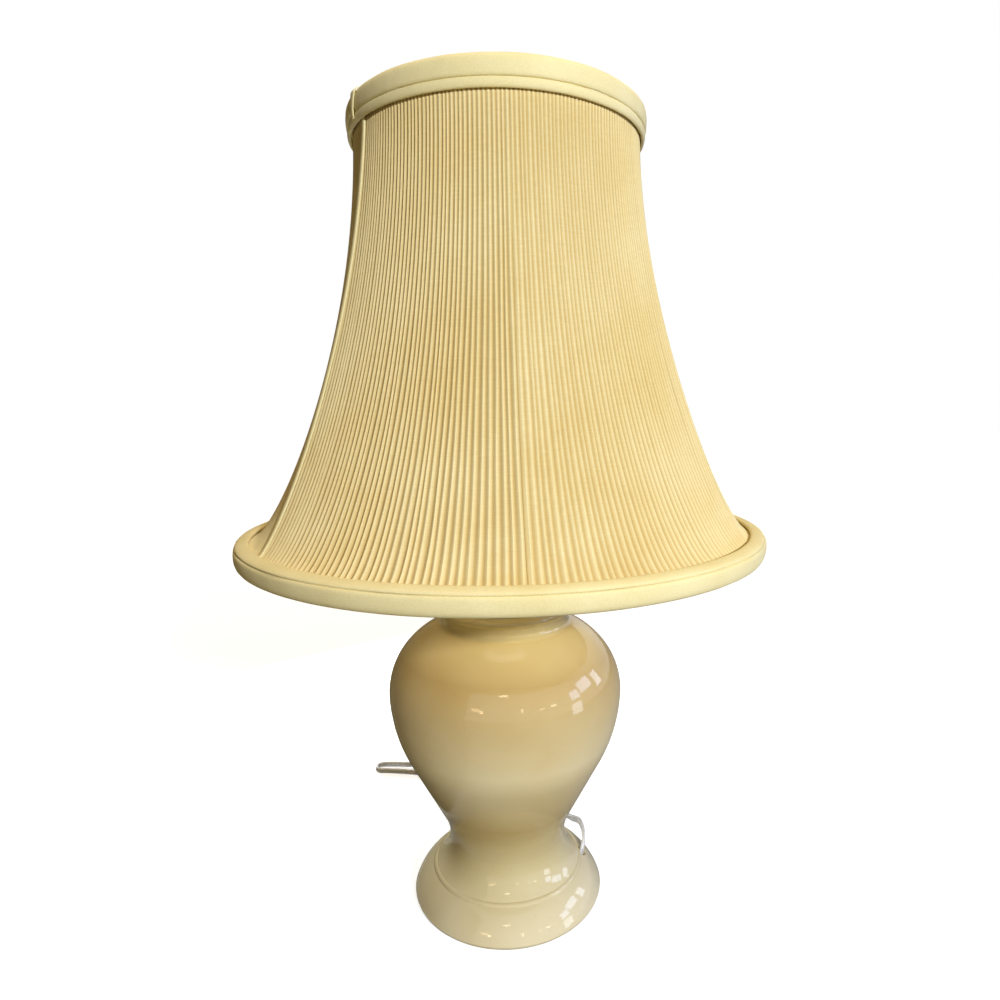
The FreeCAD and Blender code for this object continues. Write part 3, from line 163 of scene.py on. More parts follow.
# Broad clouds of tone 60 mm across, and iron specks under 1 mm.
glaze_clouds = add(cream_glaze, "TexNoise", {"Vector": glaze_space, "Scale": 16, "Detail": 2,
                                             "Roughness": 0.55})
cloud_tone = add(cream_glaze, "ValToRGB", {"Fac": glaze_clouds},
                 stops=[(0.3, "#f6f0e2"), (0.7, "#ffffff")])
glaze_body = add(cream_glaze, "Mix", {0: 1.0, 6: glaze_depth_and_shade, 7: cloud_tone},
                 data_type="RGBA", blend_type="MULTIPLY")
glaze_specks = add(cream_glaze, "TexNoise", {"Vector": glaze_space, "Scale": 1100,
                                             "Detail": 1, "Roughness": 0.55})
speck_mask = add(cream_glaze, "MapRange", {"Value": glaze_specks, "From Min": 0.76,
                                           "From Max": 0.8})
glaze_colour = add(cream_glaze, "Mix", {0: speck_mask, 6: glaze_body.outputs[2],
                                        7: linear("#a98a55")}, data_type="RGBA")
# Orange peel of a dipped glaze: swells 9 mm across and 0.03 mm high.
glaze_swells = add(cream_glaze, "TexNoise", {"Vector": glaze_space, "Scale": 110,
                                             "Detail": 1, "Roughness": 0.55})
glaze_peel = add(cream_glaze, "Bump", {"Height": glaze_swells, "Distance": 0.00006,
                                       "Strength": 0.6})
feed(glaze_shader, {"Base Color": glaze_colour.outputs[2], "Normal": glaze_peel})
dress(cream_glaze, "jar_body")

# ---- Pipe, washers and nut
# Zinc-plated steel: the threaded pipe runs through the jar, and the washers and the nut
# under the jar's floor pull everything tight.

# Plated and not polished: a dull grey sheen with a mottle 1.4 mm across.
zinc_plate, zinc_shader = surface("zinc_plate", Metallic=1.0, Roughness=0.38)
zinc_space = add(zinc_plate, "TexCoord").outputs["Object"]
zinc_mottle = add(zinc_plate, "TexNoise", {"Vector": zinc_space, "Scale": 700, "Detail": 3,
                                           "Roughness": 0.55})
zinc_tone = add(zinc_plate, "ValToRGB", {"Fac": zinc_mottle},
                stops=[(0.3, "#9c9c98"), (0.7, "#c6c5bf")])
feed(zinc_shader, {"Base Color": zinc_tone})
dress(zinc_plate, "base_washer", "lock_washer", "base_nut")

# The same plating on the pipe. Its thread is rolled over its whole length, 1 mm to a turn, and
# glints in fine bands.
threaded_zinc, thread_shader = surface("threaded_zinc", Metallic=1.0, Roughness=0.36)
thread_space = add(threaded_zinc, "TexCoord").outputs["Object"]
thread_mottle = add(threaded_zinc, "TexNoise", {"Vector": thread_space, "Scale": 500,
                                                "Detail": 2, "Roughness": 0.55})
thread_tone = add(threaded_zinc, "ValToRGB", {"Fac": thread_mottle},
                  stops=[(0.3, "#8f8f8b"), (0.7, "#b9b8b2")])
thread_wave = add(threaded_zinc, "TexWave", {"Vector": thread_space, "Scale": 314},
                  wave_type="BANDS", bands_direction="Z")
thread_relief = add(threaded_zinc, "Bump", {"Height": thread_wave.outputs["Fac"],
                                            "Distance": 0.0006, "Strength": 1})
feed(thread_shader, {"Base Color": thread_tone, "Normal": thread_relief})
dress(threaded_zinc, "threaded_pipe")

# ---- Brass cap, neck, harp and finial
# Spun and turned brass, lacquered: the cap sits on the jar's rim, the neck on it, then the
# saddle, the harp with its two sleeves, the swivel stud and the finial.

# Polished, then lacquered: warm, clear reflections, with a tone that drifts over 17 mm.
lacquered_brass, brass_shader = surface("lacquered_brass", Metallic=1.0, Roughness=0.24,
                                        Coat_Weight=0.3, Coat_Roughness=0.12)
brass_space = add(lacquered_brass, "TexCoord").outputs["Object"]
brass_drift = add(lacquered_brass, "TexNoise", {"Vector": brass_space, "Scale": 60,
                                                "Detail": 3, "Roughness": 0.55})
brass_tone = add(lacquered_brass, "ValToRGB", {"Fac": brass_drift},
                 stops=[(0.3, "#b98a3c"), (0.7, "#dbb267")])
# Turning marks 0.4 mm apart round the axis.
brass_turning = add(lacquered_brass, "Mapping", {"Vector": brass_space, "Scale": (1, 1, 60)})
brass_marks = add(lacquered_brass, "TexNoise", {"Vector": brass_turning, "Scale": 40,
                                                "Detail": 2, "Roughness": 0.55})
brass_relief = add(lacquered_brass, "Bump", {"Height": brass_marks, "Distance": 0.00002,
                                             "Strength": 0.5})
feed(brass_shader, {"Base Color": brass_tone, "Normal": brass_relief})
dress(lacquered_brass, "vase_cap", "neck_piece", "harp_saddle", "harp", "harp_sleeve_left",
      "harp_sleeve_right", "harp_stud", "finial")

# ---- Socket and switch
# Two-part brass shell with a card sleeve inside it, round a phenolic block that holds the
# screw shell, the centre contact and the turn switch.

# Drawn from sheet and left less polished: a softer shine, with marks 0.7 mm apart round it.
socket_brass, socket_shader = surface("socket_brass", Metallic=1.0, Roughness=0.3)
socket_space = add(socket_brass, "TexCoord").outputs["Object"]
socket_drift = add(socket_brass, "TexNoise", {"Vector": socket_space, "Scale": 90,
                                              "Detail": 3, "Roughness": 0.55})
socket_tone = add(socket_brass, "ValToRGB", {"Fac": socket_drift},
                  stops=[(0.3, "#c49a4c"), (0.7, "#e2bd74")])
socket_drawing = add(socket_brass, "Mapping", {"Vector": socket_space, "Scale": (1, 1, 30)})
socket_marks = add(socket_brass, "TexNoise", {"Vector": socket_drawing, "Scale": 50,
                                              "Detail": 2, "Roughness": 0.55})
socket_relief = add(socket_brass, "Bump", {"Height": socket_marks, "Distance": 0.00002,
                                           "Strength": 0.5})
feed(socket_shader, {"Base Color": socket_tone, "Normal": socket_relief})
dress(socket_brass, "socket_cap", "socket_shell", "screw_shell", "centre_contact")

# Pressed brown card: dull, with upright fibres drawn 1 mm thick, coarser than real ones.
vulcanised_card, card_shader = surface("vulcanised_card", Roughness=0.85)
card_space = add(vulcanised_card, "TexCoord").outputs["Object"]
card_lay = add(vulcanised_card, "Mapping", {"Vector": card_space, "Scale": (1, 1, 0.2)})
card_fibres = add(vulcanised_card, "TexNoise", {"Vector": card_lay, "Scale": 900,
                                                "Detail": 3, "Roughness": 0.55})
card_colour = add(vulcanised_card, "ValToRGB", {"Fac": card_fibres},
                  stops=[(0.3, "#8d7350"), (0.7, "#b49a74")])
feed(card_shader, {"Base Color": card_colour})
dress(vulcanised_card, "socket_insulator")

# Moulded and tumbled: near black with a low gloss and a faint brown mottle 4.5 mm across.
moulded_phenolic, phenolic_shader = surface("moulded_phenolic", Roughness=0.32)
phenolic_space = add(moulded_phenolic, "TexCoord").outputs["Object"]
phenolic_mottle = add(moulded_phenolic, "TexNoise", {"Vector": phenolic_space, "Scale": 220,
                                                     "Detail": 4, "Roughness": 0.55})
phenolic_tone = add(moulded_phenolic, "ValToRGB", {"Fac": phenolic_mottle},
                    stops=[(0.35, "#16120f"), (0.7, "#2e2620")])
phenolic_grit = add(moulded_phenolic, "TexNoise", {"Vector": phenolic_space, "Scale": 1500,
                                                   "Detail": 2, "Roughness": 0.55})
phenolic_relief = add(moulded_phenolic, "Bump", {"Height": phenolic_grit,
                                                 "Distance": 0.00004, "Strength": 0.5})
feed(phenolic_shader, {"Base Color": phenolic_tone, "Normal": phenolic_relief})
dress(moulded_phenolic, "socket_block", "switch_stem", "switch_knob")

# ---- Light bulb
# Standard bulb: blown glass, frosted on the inside and cemented into an aluminium screw cap
# with a contact at its tip.

# Milky white inside, with the smooth outside's sharp highlight over it.
frosted_glass, frost_shader = surface("frosted_glass", Roughness=0.3, IOR=1.5,
                                      Coat_Weight=0.5, Coat_Roughness=0.05)
frost_space = add(frosted_glass, "TexCoord").outputs["Object"]
frost_drift = add(frosted_glass, "TexNoise", {"Vector": frost_space, "Scale": 30, "Detail": 2,
                                              "Roughness": 0.55})
frost_tone = add(frosted_glass, "ValToRGB", {"Fac": frost_drift},
                 stops=[(0.2, "#eeeae0"), (0.8, "#f6f4ee")])
feed(frost_shader, {"Base Color": frost_tone})
dress(frosted_glass, "bulb_glass")

# Thin pressed sheet: satin grey, its thread rolled in at 3.6 mm to a turn.
bulb_aluminium, cap_shader = surface("bulb_aluminium", Metallic=1.0, Roughness=0.34)
cap_space = add(bulb_aluminium, "TexCoord").outputs["Object"]
cap_mottle = add(bulb_aluminium, "TexNoise", {"Vector": cap_space, "Scale": 300, "Detail": 2,
                                              "Roughness": 0.55})
cap_tone = add(bulb_aluminium, "ValToRGB", {"Fac": cap_mottle},
               stops=[(0.3, "#a9a7a1"), (0.7, "#cfcdc6")])
cap_thread = add(bulb_aluminium, "TexWave", {"Vector": cap_space, "Scale": 88},
                 wave_type="BANDS", bands_direction="Z")
cap_relief = add(bulb_aluminium, "Bump", {"Height": cap_thread.outputs["Fac"],
                                          "Distance": 0.0008, "Strength": 1})
feed(cap_shader, {"Base Color": cap_tone, "Normal": cap_relief})
dress(bulb_aluminium, "bulb_cap", "bulb_contact")

# ---- Power cord
# Flat two-core lamp cord: stranded tinned copper in clear vinyl, 5.3 by 2.7 mm, with a
# valley between its cores. It leaves by the hole in the foot, and what is spare is folded
# into a hank behind the jar.

# The tinned strands show white through the vinyl, uneven every 4 mm, under a soft gloss.
clear_vinyl, vinyl_shader = surface("clear_vinyl", Roughness=0.25, Coat_Weight=0.35,
                                    Coat_Roughness=0.1)
vinyl_space = add(clear_vinyl, "TexCoord").outputs["Object"]
vinyl_strands = add(clear_vinyl, "TexNoise", {"Vector": vinyl_space, "Scale": 260,
                                              "Detail": 3, "Roughness": 0.55})
vinyl_tone = add(clear_vinyl, "ValToRGB", {"Fac": vinyl_strands},
                 stops=[(0.3, "#eae8e0"), (0.7, "#ffffff")])
vinyl_waves = add(clear_vinyl, "TexNoise", {"Vector": vinyl_space, "Scale": 900, "Detail": 2,
                                            "Roughness": 0.55})
vinyl_relief = add(clear_vinyl, "Bump", {"Height": vinyl_waves, "Distance": 0.0001,
                                         "Strength": 0.4})
feed(vinyl_shader, {"Base Color": vinyl_tone, "Normal": vinyl_relief})


def route_curve(name, points):
    """Smooth line along a cord's route, from points in millimetres."""
    line = bpy.data.curves.new(name, "CURVE")
    line.dimensions = "3D"
    line.twist_mode = "Z_UP"
    line.resolution_u = 10
    spline = line.splines.new("NURBS")
    spline.points.add(len(points) - 1)
    for point, place in zip(spline.points, points):
        point.co = (place[0] / 1000, place[1] / 1000, place[2] / 1000, 1)
    spline.order_u = 3
    spline.use_endpoint_u = True
    holder = bpy.data.objects.new(name, line)
    bpy.context.collection.objects.link(holder)
    bpy.context.view_layer.update()
    return holder


def line_points(holder):
    """Points of a route's smooth line."""
    mesh = bpy.data.meshes.new_from_object(holder)
    points = [vertex.co.copy() for vertex in mesh.vertices]
    bpy.data.meshes.remove(mesh)
    return points


CORD_WIDTH = 0.0053
CORD_THICKNESS = 0.00265
CORE_STEPS = 5
CORE_ANGLE = 26.5


def two_core_profile():
    """Section of the cord: two round cores with a valley between them."""
    outline = bpy.data.curves.new("cord_section", "CURVE")
    outline.dimensions = "2D"
    spline = outline.splines.new("POLY")
    core = CORD_THICKNESS / 2
    apart = CORD_WIDTH / 2 - core
    places = []
    for turn, side in ((0, 1), (180, -1)):
        for step in range(-CORE_STEPS, CORE_STEPS + 1):
            angle = math.radians(turn + step * CORE_ANGLE)
            places.append((core * math.sin(angle), side * apart + core * math.cos(angle)))
    spline.points.add(len(places) - 1)
    for point, place in zip(spline.points, places):
        point.co = (place[0], place[1], 0, 1)
    spline.use_cyclic_u = True
    section = bpy.data.objects.new("cord_section", outline)
    bpy.context.collection.objects.link(section)
    return section


def cord_mesh(name, holder, material):
    """Flat cord along a route's smooth line, as a mesh."""
    holder.data.bevel_mode = "OBJECT"
    section = two_core_profile()
    holder.data.bevel_object = section
    holder.data.use_fill_caps = True
    bpy.context.view_layer.update()
    mesh = bpy.data.meshes.new_from_object(
        holder.evaluated_get(bpy.context.evaluated_depsgraph_get()))
    bpy.data.objects.remove(holder)
    bpy.data.objects.remove(section)
    shape = bmesh.new()
    shape.from_mesh(mesh)
    bpy.data.meshes.remove(mesh)
    bmesh.ops.remove_doubles(shape, verts=shape.verts, dist=1e-6)
    bmesh.ops.recalc_face_normals(shape, faces=shape.faces)
    return piece(name, shape, material)


CORD_EXIT = (58.26, 4.07, 22.6)
INNER_ROUTE = [(0, 0, 259.6), (0, 0, 140), (0, 0, 30), (0, 0, 6), (14, -4.4, 6),
               (35, -11, 6), (46.3, -14.4, 6), CORD_EXIT]
inner_route = route_curve("inner_route", INNER_ROUTE)
inner_cord = cord_mesh("inner_cord", inner_route, clear_vinyl)
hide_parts("cord_inside")
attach(inner_cord, "base")

# The hank has a low and a high layer of runs, and each fold turns from a front row to a back
# row. In millimetres, as in the part.
LOW, HIGH = 2.7, 8.3
HANK_X, HANK_Y = 2, 112
LEFT_X, RIGHT_X = -46, 50
FRONT_OUTER, FRONT_MIDDLE, FRONT_INNER = 96.6, 101.1, 105.6
BACK_INNER, BACK_MIDDLE, BACK_OUTER = 118.4, 122.9, 127.4
WAIST_DRAW = 2.2
OCTAGON_CORNER = 0.414


def fold_points(x, first_y, last_y, height):
    """Control points of one end fold of the hank: half of an eight-sided turn."""
    side = 1 if x > HANK_X else -1
    reach = abs(last_y - first_y) / 2
    corner = reach * OCTAGON_CORNER
    inward = math.copysign(reach * (1 - OCTAGON_CORNER), last_y - first_y)
    return [(x - side * corner, first_y, height),
            (x + side * corner, first_y, height),
            (x + side * reach, first_y + inward, height),
            (x + side * reach, last_y - inward, height),
            (x + side * corner, last_y, height),
            (x - side * corner, last_y, height)]


def run_points(y, first_x, last_x, first_z, last_z):
    """Control points of one run of the hank, drawn in at the tie."""
    drawn = y + WAIST_DRAW * (1 if y < HANK_Y else -1)
    points = []
    for share, pull in ((0.1, 0.0), (0.3, 0.5), (0.5, 1.0), (0.7, 0.5), (0.9, 0.0)):
        points.append((first_x + (last_x - first_x) * share, y + (drawn - y) * pull,
                       first_z + (last_z - first_z) * share))
    return points


hank = fold_points(LEFT_X, FRONT_OUTER, BACK_MIDDLE, LOW)
hank += run_points(BACK_MIDDLE, LEFT_X, RIGHT_X, LOW, LOW)
hank += fold_points(RIGHT_X, BACK_MIDDLE, FRONT_MIDDLE, LOW)
hank += run_points(FRONT_MIDDLE, RIGHT_X, LEFT_X, LOW, LOW)
hank += fold_points(LEFT_X, FRONT_MIDDLE, BACK_INNER, LOW)
hank += run_points(BACK_INNER, LEFT_X, RIGHT_X, LOW, LOW)
hank += fold_points(RIGHT_X, BACK_INNER, FRONT_INNER, LOW)
hank += run_points(FRONT_INNER, RIGHT_X, LEFT_X, LOW, HIGH)
for front, back, next_front in ((FRONT_INNER, BACK_INNER, FRONT_MIDDLE),
                                (FRONT_MIDDLE, BACK_MIDDLE, FRONT_OUTER)):
    hank += fold_points(LEFT_X, front, back, HIGH)
    hank += run_points(back, LEFT_X, RIGHT_X, HIGH, HIGH)
    hank += fold_points(RIGHT_X, back, next_front, HIGH)
    hank += run_points(next_front, RIGHT_X, LEFT_X, HIGH, HIGH)
hank += fold_points(LEFT_X, FRONT_OUTER, BACK_OUTER, HIGH)
hank += run_points(BACK_OUTER, LEFT_X, RIGHT_X, HIGH, HIGH)

LEAD_ROUTE = [CORD_EXIT, (60.9, 9.6, 26.4), (61.4, 19, 29), (60.6, 31, 28),
              (59.6, 45, 21.4), (58.4, 59, 13), (56, 72, 6), (51.5, 84.5, 2.7),
              (37.95, 96.6, 2.7), (26, 97.7, 2.7), (2, 98.8, 2.7), (-22, 97.7, 2.7),
              (-36.4, 96.6, 2.7)]
TAIL_ROUTE = [(57.55, 127.4, 8.3), (65.4, 135.25, 6.7), (65.4, 146.35, 4.3),
              (57.55, 154.2, 2.7), (38, 153.8, 2.7), (8, 152.8, 2.7), (-32, 152.2, 2.7),
              (-72, 156.8, 2.7), (-100, 162.4, 2.7), (-118, 165.5, 2.7),
              (-124, 165.9, 2.7), (-129.3, 166.2, 2.7), (-133, 169.8, 2.7),
              (-133, 174.8, 2.7), (-129.3, 178.4, 2.7), (-124, 178.6, 2.7),
              (-118, 178.3, 2.7), (-102, 175.9, 3.2), (-84, 170.6, 4.5)]
cord_route = route_curve("cord_route", LEAD_ROUTE + hank + TAIL_ROUTE)
cord_line = line_points(cord_route)
power_cord = cord_mesh("power_cord", cord_route, clear_vinyl)
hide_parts("cord_lead", "cord_hank", "cord_tail")
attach(power_cord, "base")

# ---- Hank tie
# Flat paper-covered wire, cut from a reel and wrapped once round the middle of the hank, which
# it draws together.


def thicken(made, thickness):
    """Gives an open shape its wall, inwards from the modelled side."""
    wall = made.modifiers.new("wall", "SOLIDIFY")
    wall.thickness = thickness
    wall.offset = -1


# Matt white paper. Its fibres are drawn 0.8 mm thick, coarser than real ones, to show.
paper_tie, tie_shader = surface("paper_tie", Roughness=0.7)
tie_space = add(paper_tie, "TexCoord").outputs["Object"]
tie_lay = add(paper_tie, "Mapping", {"Vector": tie_space, "Scale": (0.15, 1, 1)})
tie_fibres = add(paper_tie, "TexNoise", {"Vector": tie_lay, "Scale": 1200, "Detail": 2,
                                         "Roughness": 0.55})
tie_tone = add(paper_tie, "ValToRGB", {"Fac": tie_fibres},
               stops=[(0.3, "#e9e6dc"), (0.7, "#f7f5ee")])
feed(tie_shader, {"Base Color": tie_tone})

tie_low, tie_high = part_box("hank_tie")
band = bmesh.new()
bmesh.ops.create_cube(band, size=1.0)
bmesh.ops.scale(band, vec=tie_high - tie_low, verts=band.verts)
bmesh.ops.translate(band, vec=(tie_low + tie_high) / 2, verts=band.verts)
end_faces = [face for face in band.faces if abs(face.normal.x) > 0.9]
bmesh.ops.delete(band, geom=end_faces, context="FACES_ONLY")
long_edges = [edge for edge in band.edges
              if abs(edge.verts[0].co.x - edge.verts[1].co.x) > 0.001]
bmesh.ops.bevel(band, geom=long_edges, offset=0.0028, segments=5, profile=0.5,
                affect="EDGES", material=-1)
hank_tie = piece("hank_wrap", band, paper_tie)
thicken(hank_tie, 0.0004)
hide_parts("hank_tie")
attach(hank_tie, "base")

# ---- Plug
# Vinyl plug moulded onto the end of the cord, with two flat blades of sheet brass. Ribs across
# it give the fingers a hold.

# Moulded in a dull tool: low gloss, a faint mottle 5 mm across, and ribs 2.6 mm apart.
moulded_vinyl, plug_shader = surface("moulded_vinyl", Roughness=0.4)
plug_space = add(moulded_vinyl, "TexCoord").outputs["Object"]
plug_mottle = add(moulded_vinyl, "TexNoise", {"Vector": plug_space, "Scale": 200, "Detail": 2,
                                              "Roughness": 0.55})
plug_tone = add(moulded_vinyl, "ValToRGB", {"Fac": plug_mottle},
                stops=[(0.3, "#c9bfa4"), (0.7, "#d8d0b8")])
plug_grip = add(moulded_vinyl, "TexWave", {"Vector": plug_space, "Scale": 120},
                wave_type="BANDS", bands_direction="X")
plug_relief = add(moulded_vinyl, "Bump", {"Height": plug_grip.outputs["Fac"],
                                          "Distance": 0.0005, "Strength": 0.6})
feed(plug_shader, {"Base Color": plug_tone, "Normal": plug_relief})
dress(moulded_vinyl, "plug_body")
dress(socket_brass, "plug_blades")

# ---- Shade frame
# Bell frame of steel wire, welded and dipped in ivory enamel: top and bottom ring, six
# ribs, and the spider that hangs on the harp's stud.

# Dipped and baked: a soft shine, thick and thin over 8 mm, with a fine orange peel.
ivory_enamel, enamel_shader = surface("ivory_enamel", Roughness=0.35, Coat_Weight=0.3,
                                      Coat_Roughness=0.15)
enamel_space = add(ivory_enamel, "TexCoord").outputs["Object"]
enamel_drift = add(ivory_enamel, "TexNoise", {"Vector": enamel_space, "Scale": 120,
                                              "Detail": 3, "Roughness": 0.55})
enamel_tone = add(ivory_enamel, "ValToRGB", {"Fac": enamel_drift},
                  stops=[(0.3, "#ddd3ba"), (0.7, "#ece5d2")])
enamel_peel = add(ivory_enamel, "TexNoise", {"Vector": enamel_space, "Scale": 700,
                                             "Detail": 2, "Roughness": 0.55})
enamel_relief = add(ivory_enamel, "Bump", {"Height": enamel_peel, "Distance": 0.00008,
                                           "Strength": 0.5})
feed(enamel_shader, {"Base Color": enamel_tone, "Normal": enamel_relief})
dress(ivory_enamel, "shade_spider", "shade_top_ring", "shade_bottom_ring",
      *("shade_rib_" + str(number) for number in range(1, 7)))

# ---- Shade cover
# Cream cotton-blend cloth, machine-pleated into fine rounded ribs, stretched over the frame
# in six panels and glued at both rims. It follows the bell between the ribs and is drawn
# flatter at mid height.

# The bell's curve (radius, height), the sag between two ribs and the first rib's angle are
# the part's, in millimetres and degrees.
BELL = [Vector((94.5, 545)), Vector((102.2, 415.4)), Vector((162.9, 283.7)),
        Vector((173.5, 284))]
PANEL_SAG = 6.5
FIRST_RIB = 4
PANELS = 6
PANEL_ANGLE = math.radians(360 / PANELS)
PLEATS = 41
PLEAT_STEPS = 10
COVER_ROWS = 54
COVER_LENGTH = 0.31
PLEAT_UNEVENNESS = 0.16
PLEAT_SWAY = 0.16
PLEAT_DEPTH = 0.34
CREST_ROUNDNESS = 0.75
BORDER_LAP = 0.1
COVER_GAP = 0.15
RIB_WIRE_REACH = 1.3
RIB_WIRE_INSET = 0.75


def bell_line(share):
    """Radius and height of the frame's rib line and its outward normal, in millimetres."""
    rest = 1 - share
    place = (BELL[0] * rest ** 3 + BELL[1] * 3 * rest ** 2 * share
             + BELL[2] * 3 * rest * share ** 2 + BELL[3] * share ** 3)
    along = ((BELL[1] - BELL[0]) * rest ** 2 + (BELL[2] - BELL[1]) * 2 * rest * share
             + (BELL[3] - BELL[2]) * share ** 2).normalized()
    return place, Vector((-along.y, along.x))


def drawn_radius(radius, share, offset):
    """Radius of the cloth at an angle from the middle of a panel."""
    sag = PANEL_SAG * math.sin(math.pi * share)
    half = PANEL_ANGLE / 2
    back = (2 * radius * sag - sag * sag) / (2 * (radius * (1 - math.cos(half)) - sag))
    arc = radius - sag + back
    return math.sqrt(arc ** 2 - (back * math.sin(offset)) ** 2) - back * math.cos(offset)


def at_azimuth(radius, azimuth, height):
    """Point at an angle from the front towards the right, in metres."""
    return Vector((radius * math.sin(azimuth), -radius * math.cos(azimuth), height)) / 1000


def cloth_point(panel, across, share, inset):
    """Point on the cloth of one panel. The inset is square to the surface."""
    place, normal = bell_line(share)
    place = place - normal * inset
    offset = (across - 0.5) * PANEL_ANGLE
    middle = math.radians(FIRST_RIB) + (panel + 0.5) * PANEL_ANGLE
    return at_azimuth(drawn_radius(place.x, share, offset), middle + offset, place.y)


def unfold(shape, layer, flat_places):
    """Lays every corner at its place on the flat cloth, in metres."""
    for face in shape.faces:
        for loop in face.loops:
            loop[layer].uv = flat_places[loop.vert]


# Matt cloth: the pleats' light crests and shaded valleys are all its pattern from afar.
pleated_cotton, pleat_shader = surface("pleated_cotton", Roughness=0.9, Sheen_Weight=0.02,
                                       Sheen_Roughness=0.5, Specular_IOR_Level=0.0)
cloth_map = add(pleated_cotton, "UVMap", uv_map="cloth").outputs["UV"]
# Painted shade and light: each pleat's valley is painted darker and its crest paler, as light
# falls on them.
crest = add(pleated_cotton, "Attribute", attribute_name="crest").outputs["Fac"]
pleat_painted_shade = add(pleated_cotton, "ValToRGB", {"Fac": crest},
                   stops=[(0.05, "#ccb378"), (0.45, "#dfcb94"), (0.95, "#f0e3b2")])
# Slubs 0.5 mm thick across the pleats, drawn twice as coarse as they are so that they show.
slub_lay = add(pleated_cotton, "Mapping", {"Vector": cloth_map, "Scale": (0.12, 1, 1)})
slubs = add(pleated_cotton, "TexNoise", {"Vector": slub_lay, "Scale": 1000, "Detail": 3,
                                         "Roughness": 0.55})
slub_tone = add(pleated_cotton, "ValToRGB", {"Fac": slubs},
                stops=[(0.35, "#f8f8f4"), (0.65, "#ffffff")])
slub_mix = add(pleated_cotton, "Mix", {0: 1.0, 6: pleat_painted_shade, 7: slub_tone},
               data_type="RGBA", blend_type="MULTIPLY")
# Soft stains of age, 80 mm across.
stains = add(pleated_cotton, "TexNoise", {"Vector": cloth_map, "Scale": 12, "Detail": 3,
                                          "Roughness": 0.55})
stain_tone = add(pleated_cotton, "ValToRGB", {"Fac": stains},
                 stops=[(0.3, "#f4ead2"), (0.6, "#ffffff")])
stain_mix = add(pleated_cotton, "Mix", {0: 0.7, 6: slub_mix.outputs[2], 7: stain_tone},
                data_type="RGBA", blend_type="MULTIPLY")
slub_relief = add(pleated_cotton, "Bump", {"Height": slubs, "Distance": 0.00006,
                                           "Strength": 0.3})
feed(pleat_shader, {"Base Color": stain_mix.outputs[2], "Normal": slub_relief})

for panel in range(PANELS):
    dice = random.Random(40 + panel)
    widths = [1 + dice.uniform(-PLEAT_UNEVENNESS, PLEAT_UNEVENNESS) for _ in range(PLEATS)]
    starts = [sum(widths[:index]) / sum(widths) for index in range(PLEATS + 1)]
    columns = PLEATS * PLEAT_STEPS
    cloth = bmesh.new()
    bmesh.ops.create_grid(cloth, x_segments=columns, y_segments=COVER_ROWS, size=0.5)
    crest_layer = cloth.verts.layers.float.new("crest")
    uv_layer = cloth.loops.layers.uv.new("cloth")
    flat_places = {}
    for vert in cloth.verts:
        column = round((vert.co.x + 0.5) * columns)
        share = 0.5 - vert.co.y
        index = min(column // PLEAT_STEPS, PLEATS - 1)
        step = (column - index * PLEAT_STEPS) / PLEAT_STEPS
        start, end = starts[index], starts[index + 1]
        across = start + (end - start) * (step + 0.10 * math.sin(2 * math.pi * step))
        if 0 < column < columns:
            # Each pleat sways a little on its way down.
            sway = noise.noise(Vector((index * 0.9, share * 5.0, panel * 7.3)))
            across += sway * PLEAT_SWAY / PLEATS * math.sin(math.pi * share)
        else:
            # The border runs under the next panel's.
            across += math.copysign(BORDER_LAP / PLEATS, column - 1)
        crest_height = math.sin(math.pi * step) ** CREST_ROUNDNESS
        radius = bell_line(share)[0].x
        pitch = radius * PANEL_ANGLE / PLEATS
        held = min(1.0, 0.45 + min(share, 1 - share) * 14)
        depth = pitch * PLEAT_DEPTH * held * (1 + 0.25 * noise.noise(
            Vector((index * 1.7, share * 3.0, panel * 3.1 + 50))))
        # The rib's wire holds the cloth out, so no pleat is deep there.
        from_rib = min(across, 1 - across) * pitch * PLEATS
        inset = min(COVER_GAP + depth * (1 - crest_height),
                    RIB_WIRE_INSET + max(0.0, from_rib - RIB_WIRE_REACH))
        vert[crest_layer] = crest_height
        flat_places[vert] = (across * PANEL_ANGLE * radius / 1000, share * COVER_LENGTH)
        vert.co = cloth_point(panel, across, share, inset)
    unfold(cloth, uv_layer, flat_places)
    made = piece("cover_panel_" + str(panel + 1), cloth, pleated_cotton)
    thicken(made, 0.00035)
    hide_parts("shade_cover")
    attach(made, "shade")

# ---- Shade lining
# Plain cream taffeta, sewn to the frame inside the ribs, so that the wires don't show as
# shadows when the lamp is lit.

# Crisp and a little bright, with threads drawn 1 mm thick, coarser than real ones, to show.
lining_taffeta, lining_shader = surface("lining_taffeta", Roughness=0.7, Sheen_Weight=0.25)
lining_map = add(lining_taffeta, "UVMap", uv_map="cloth").outputs["UV"]
lining_lay = add(lining_taffeta, "Mapping", {"Vector": lining_map, "Scale": (1, 0.2, 1)})
lining_weave = add(lining_taffeta, "TexNoise", {"Vector": lining_lay, "Scale": 900,
                                                "Detail": 2, "Roughness": 0.55})
lining_tone = add(lining_taffeta, "ValToRGB", {"Fac": lining_weave},
                  stops=[(0.3, "#e6d9b8"), (0.7, "#f4ead0")])
lining_relief = add(lining_taffeta, "Bump", {"Height": lining_weave, "Distance": 0.0002,
                                             "Strength": 0.5})
feed(lining_shader, {"Base Color": lining_tone, "Normal": lining_relief})

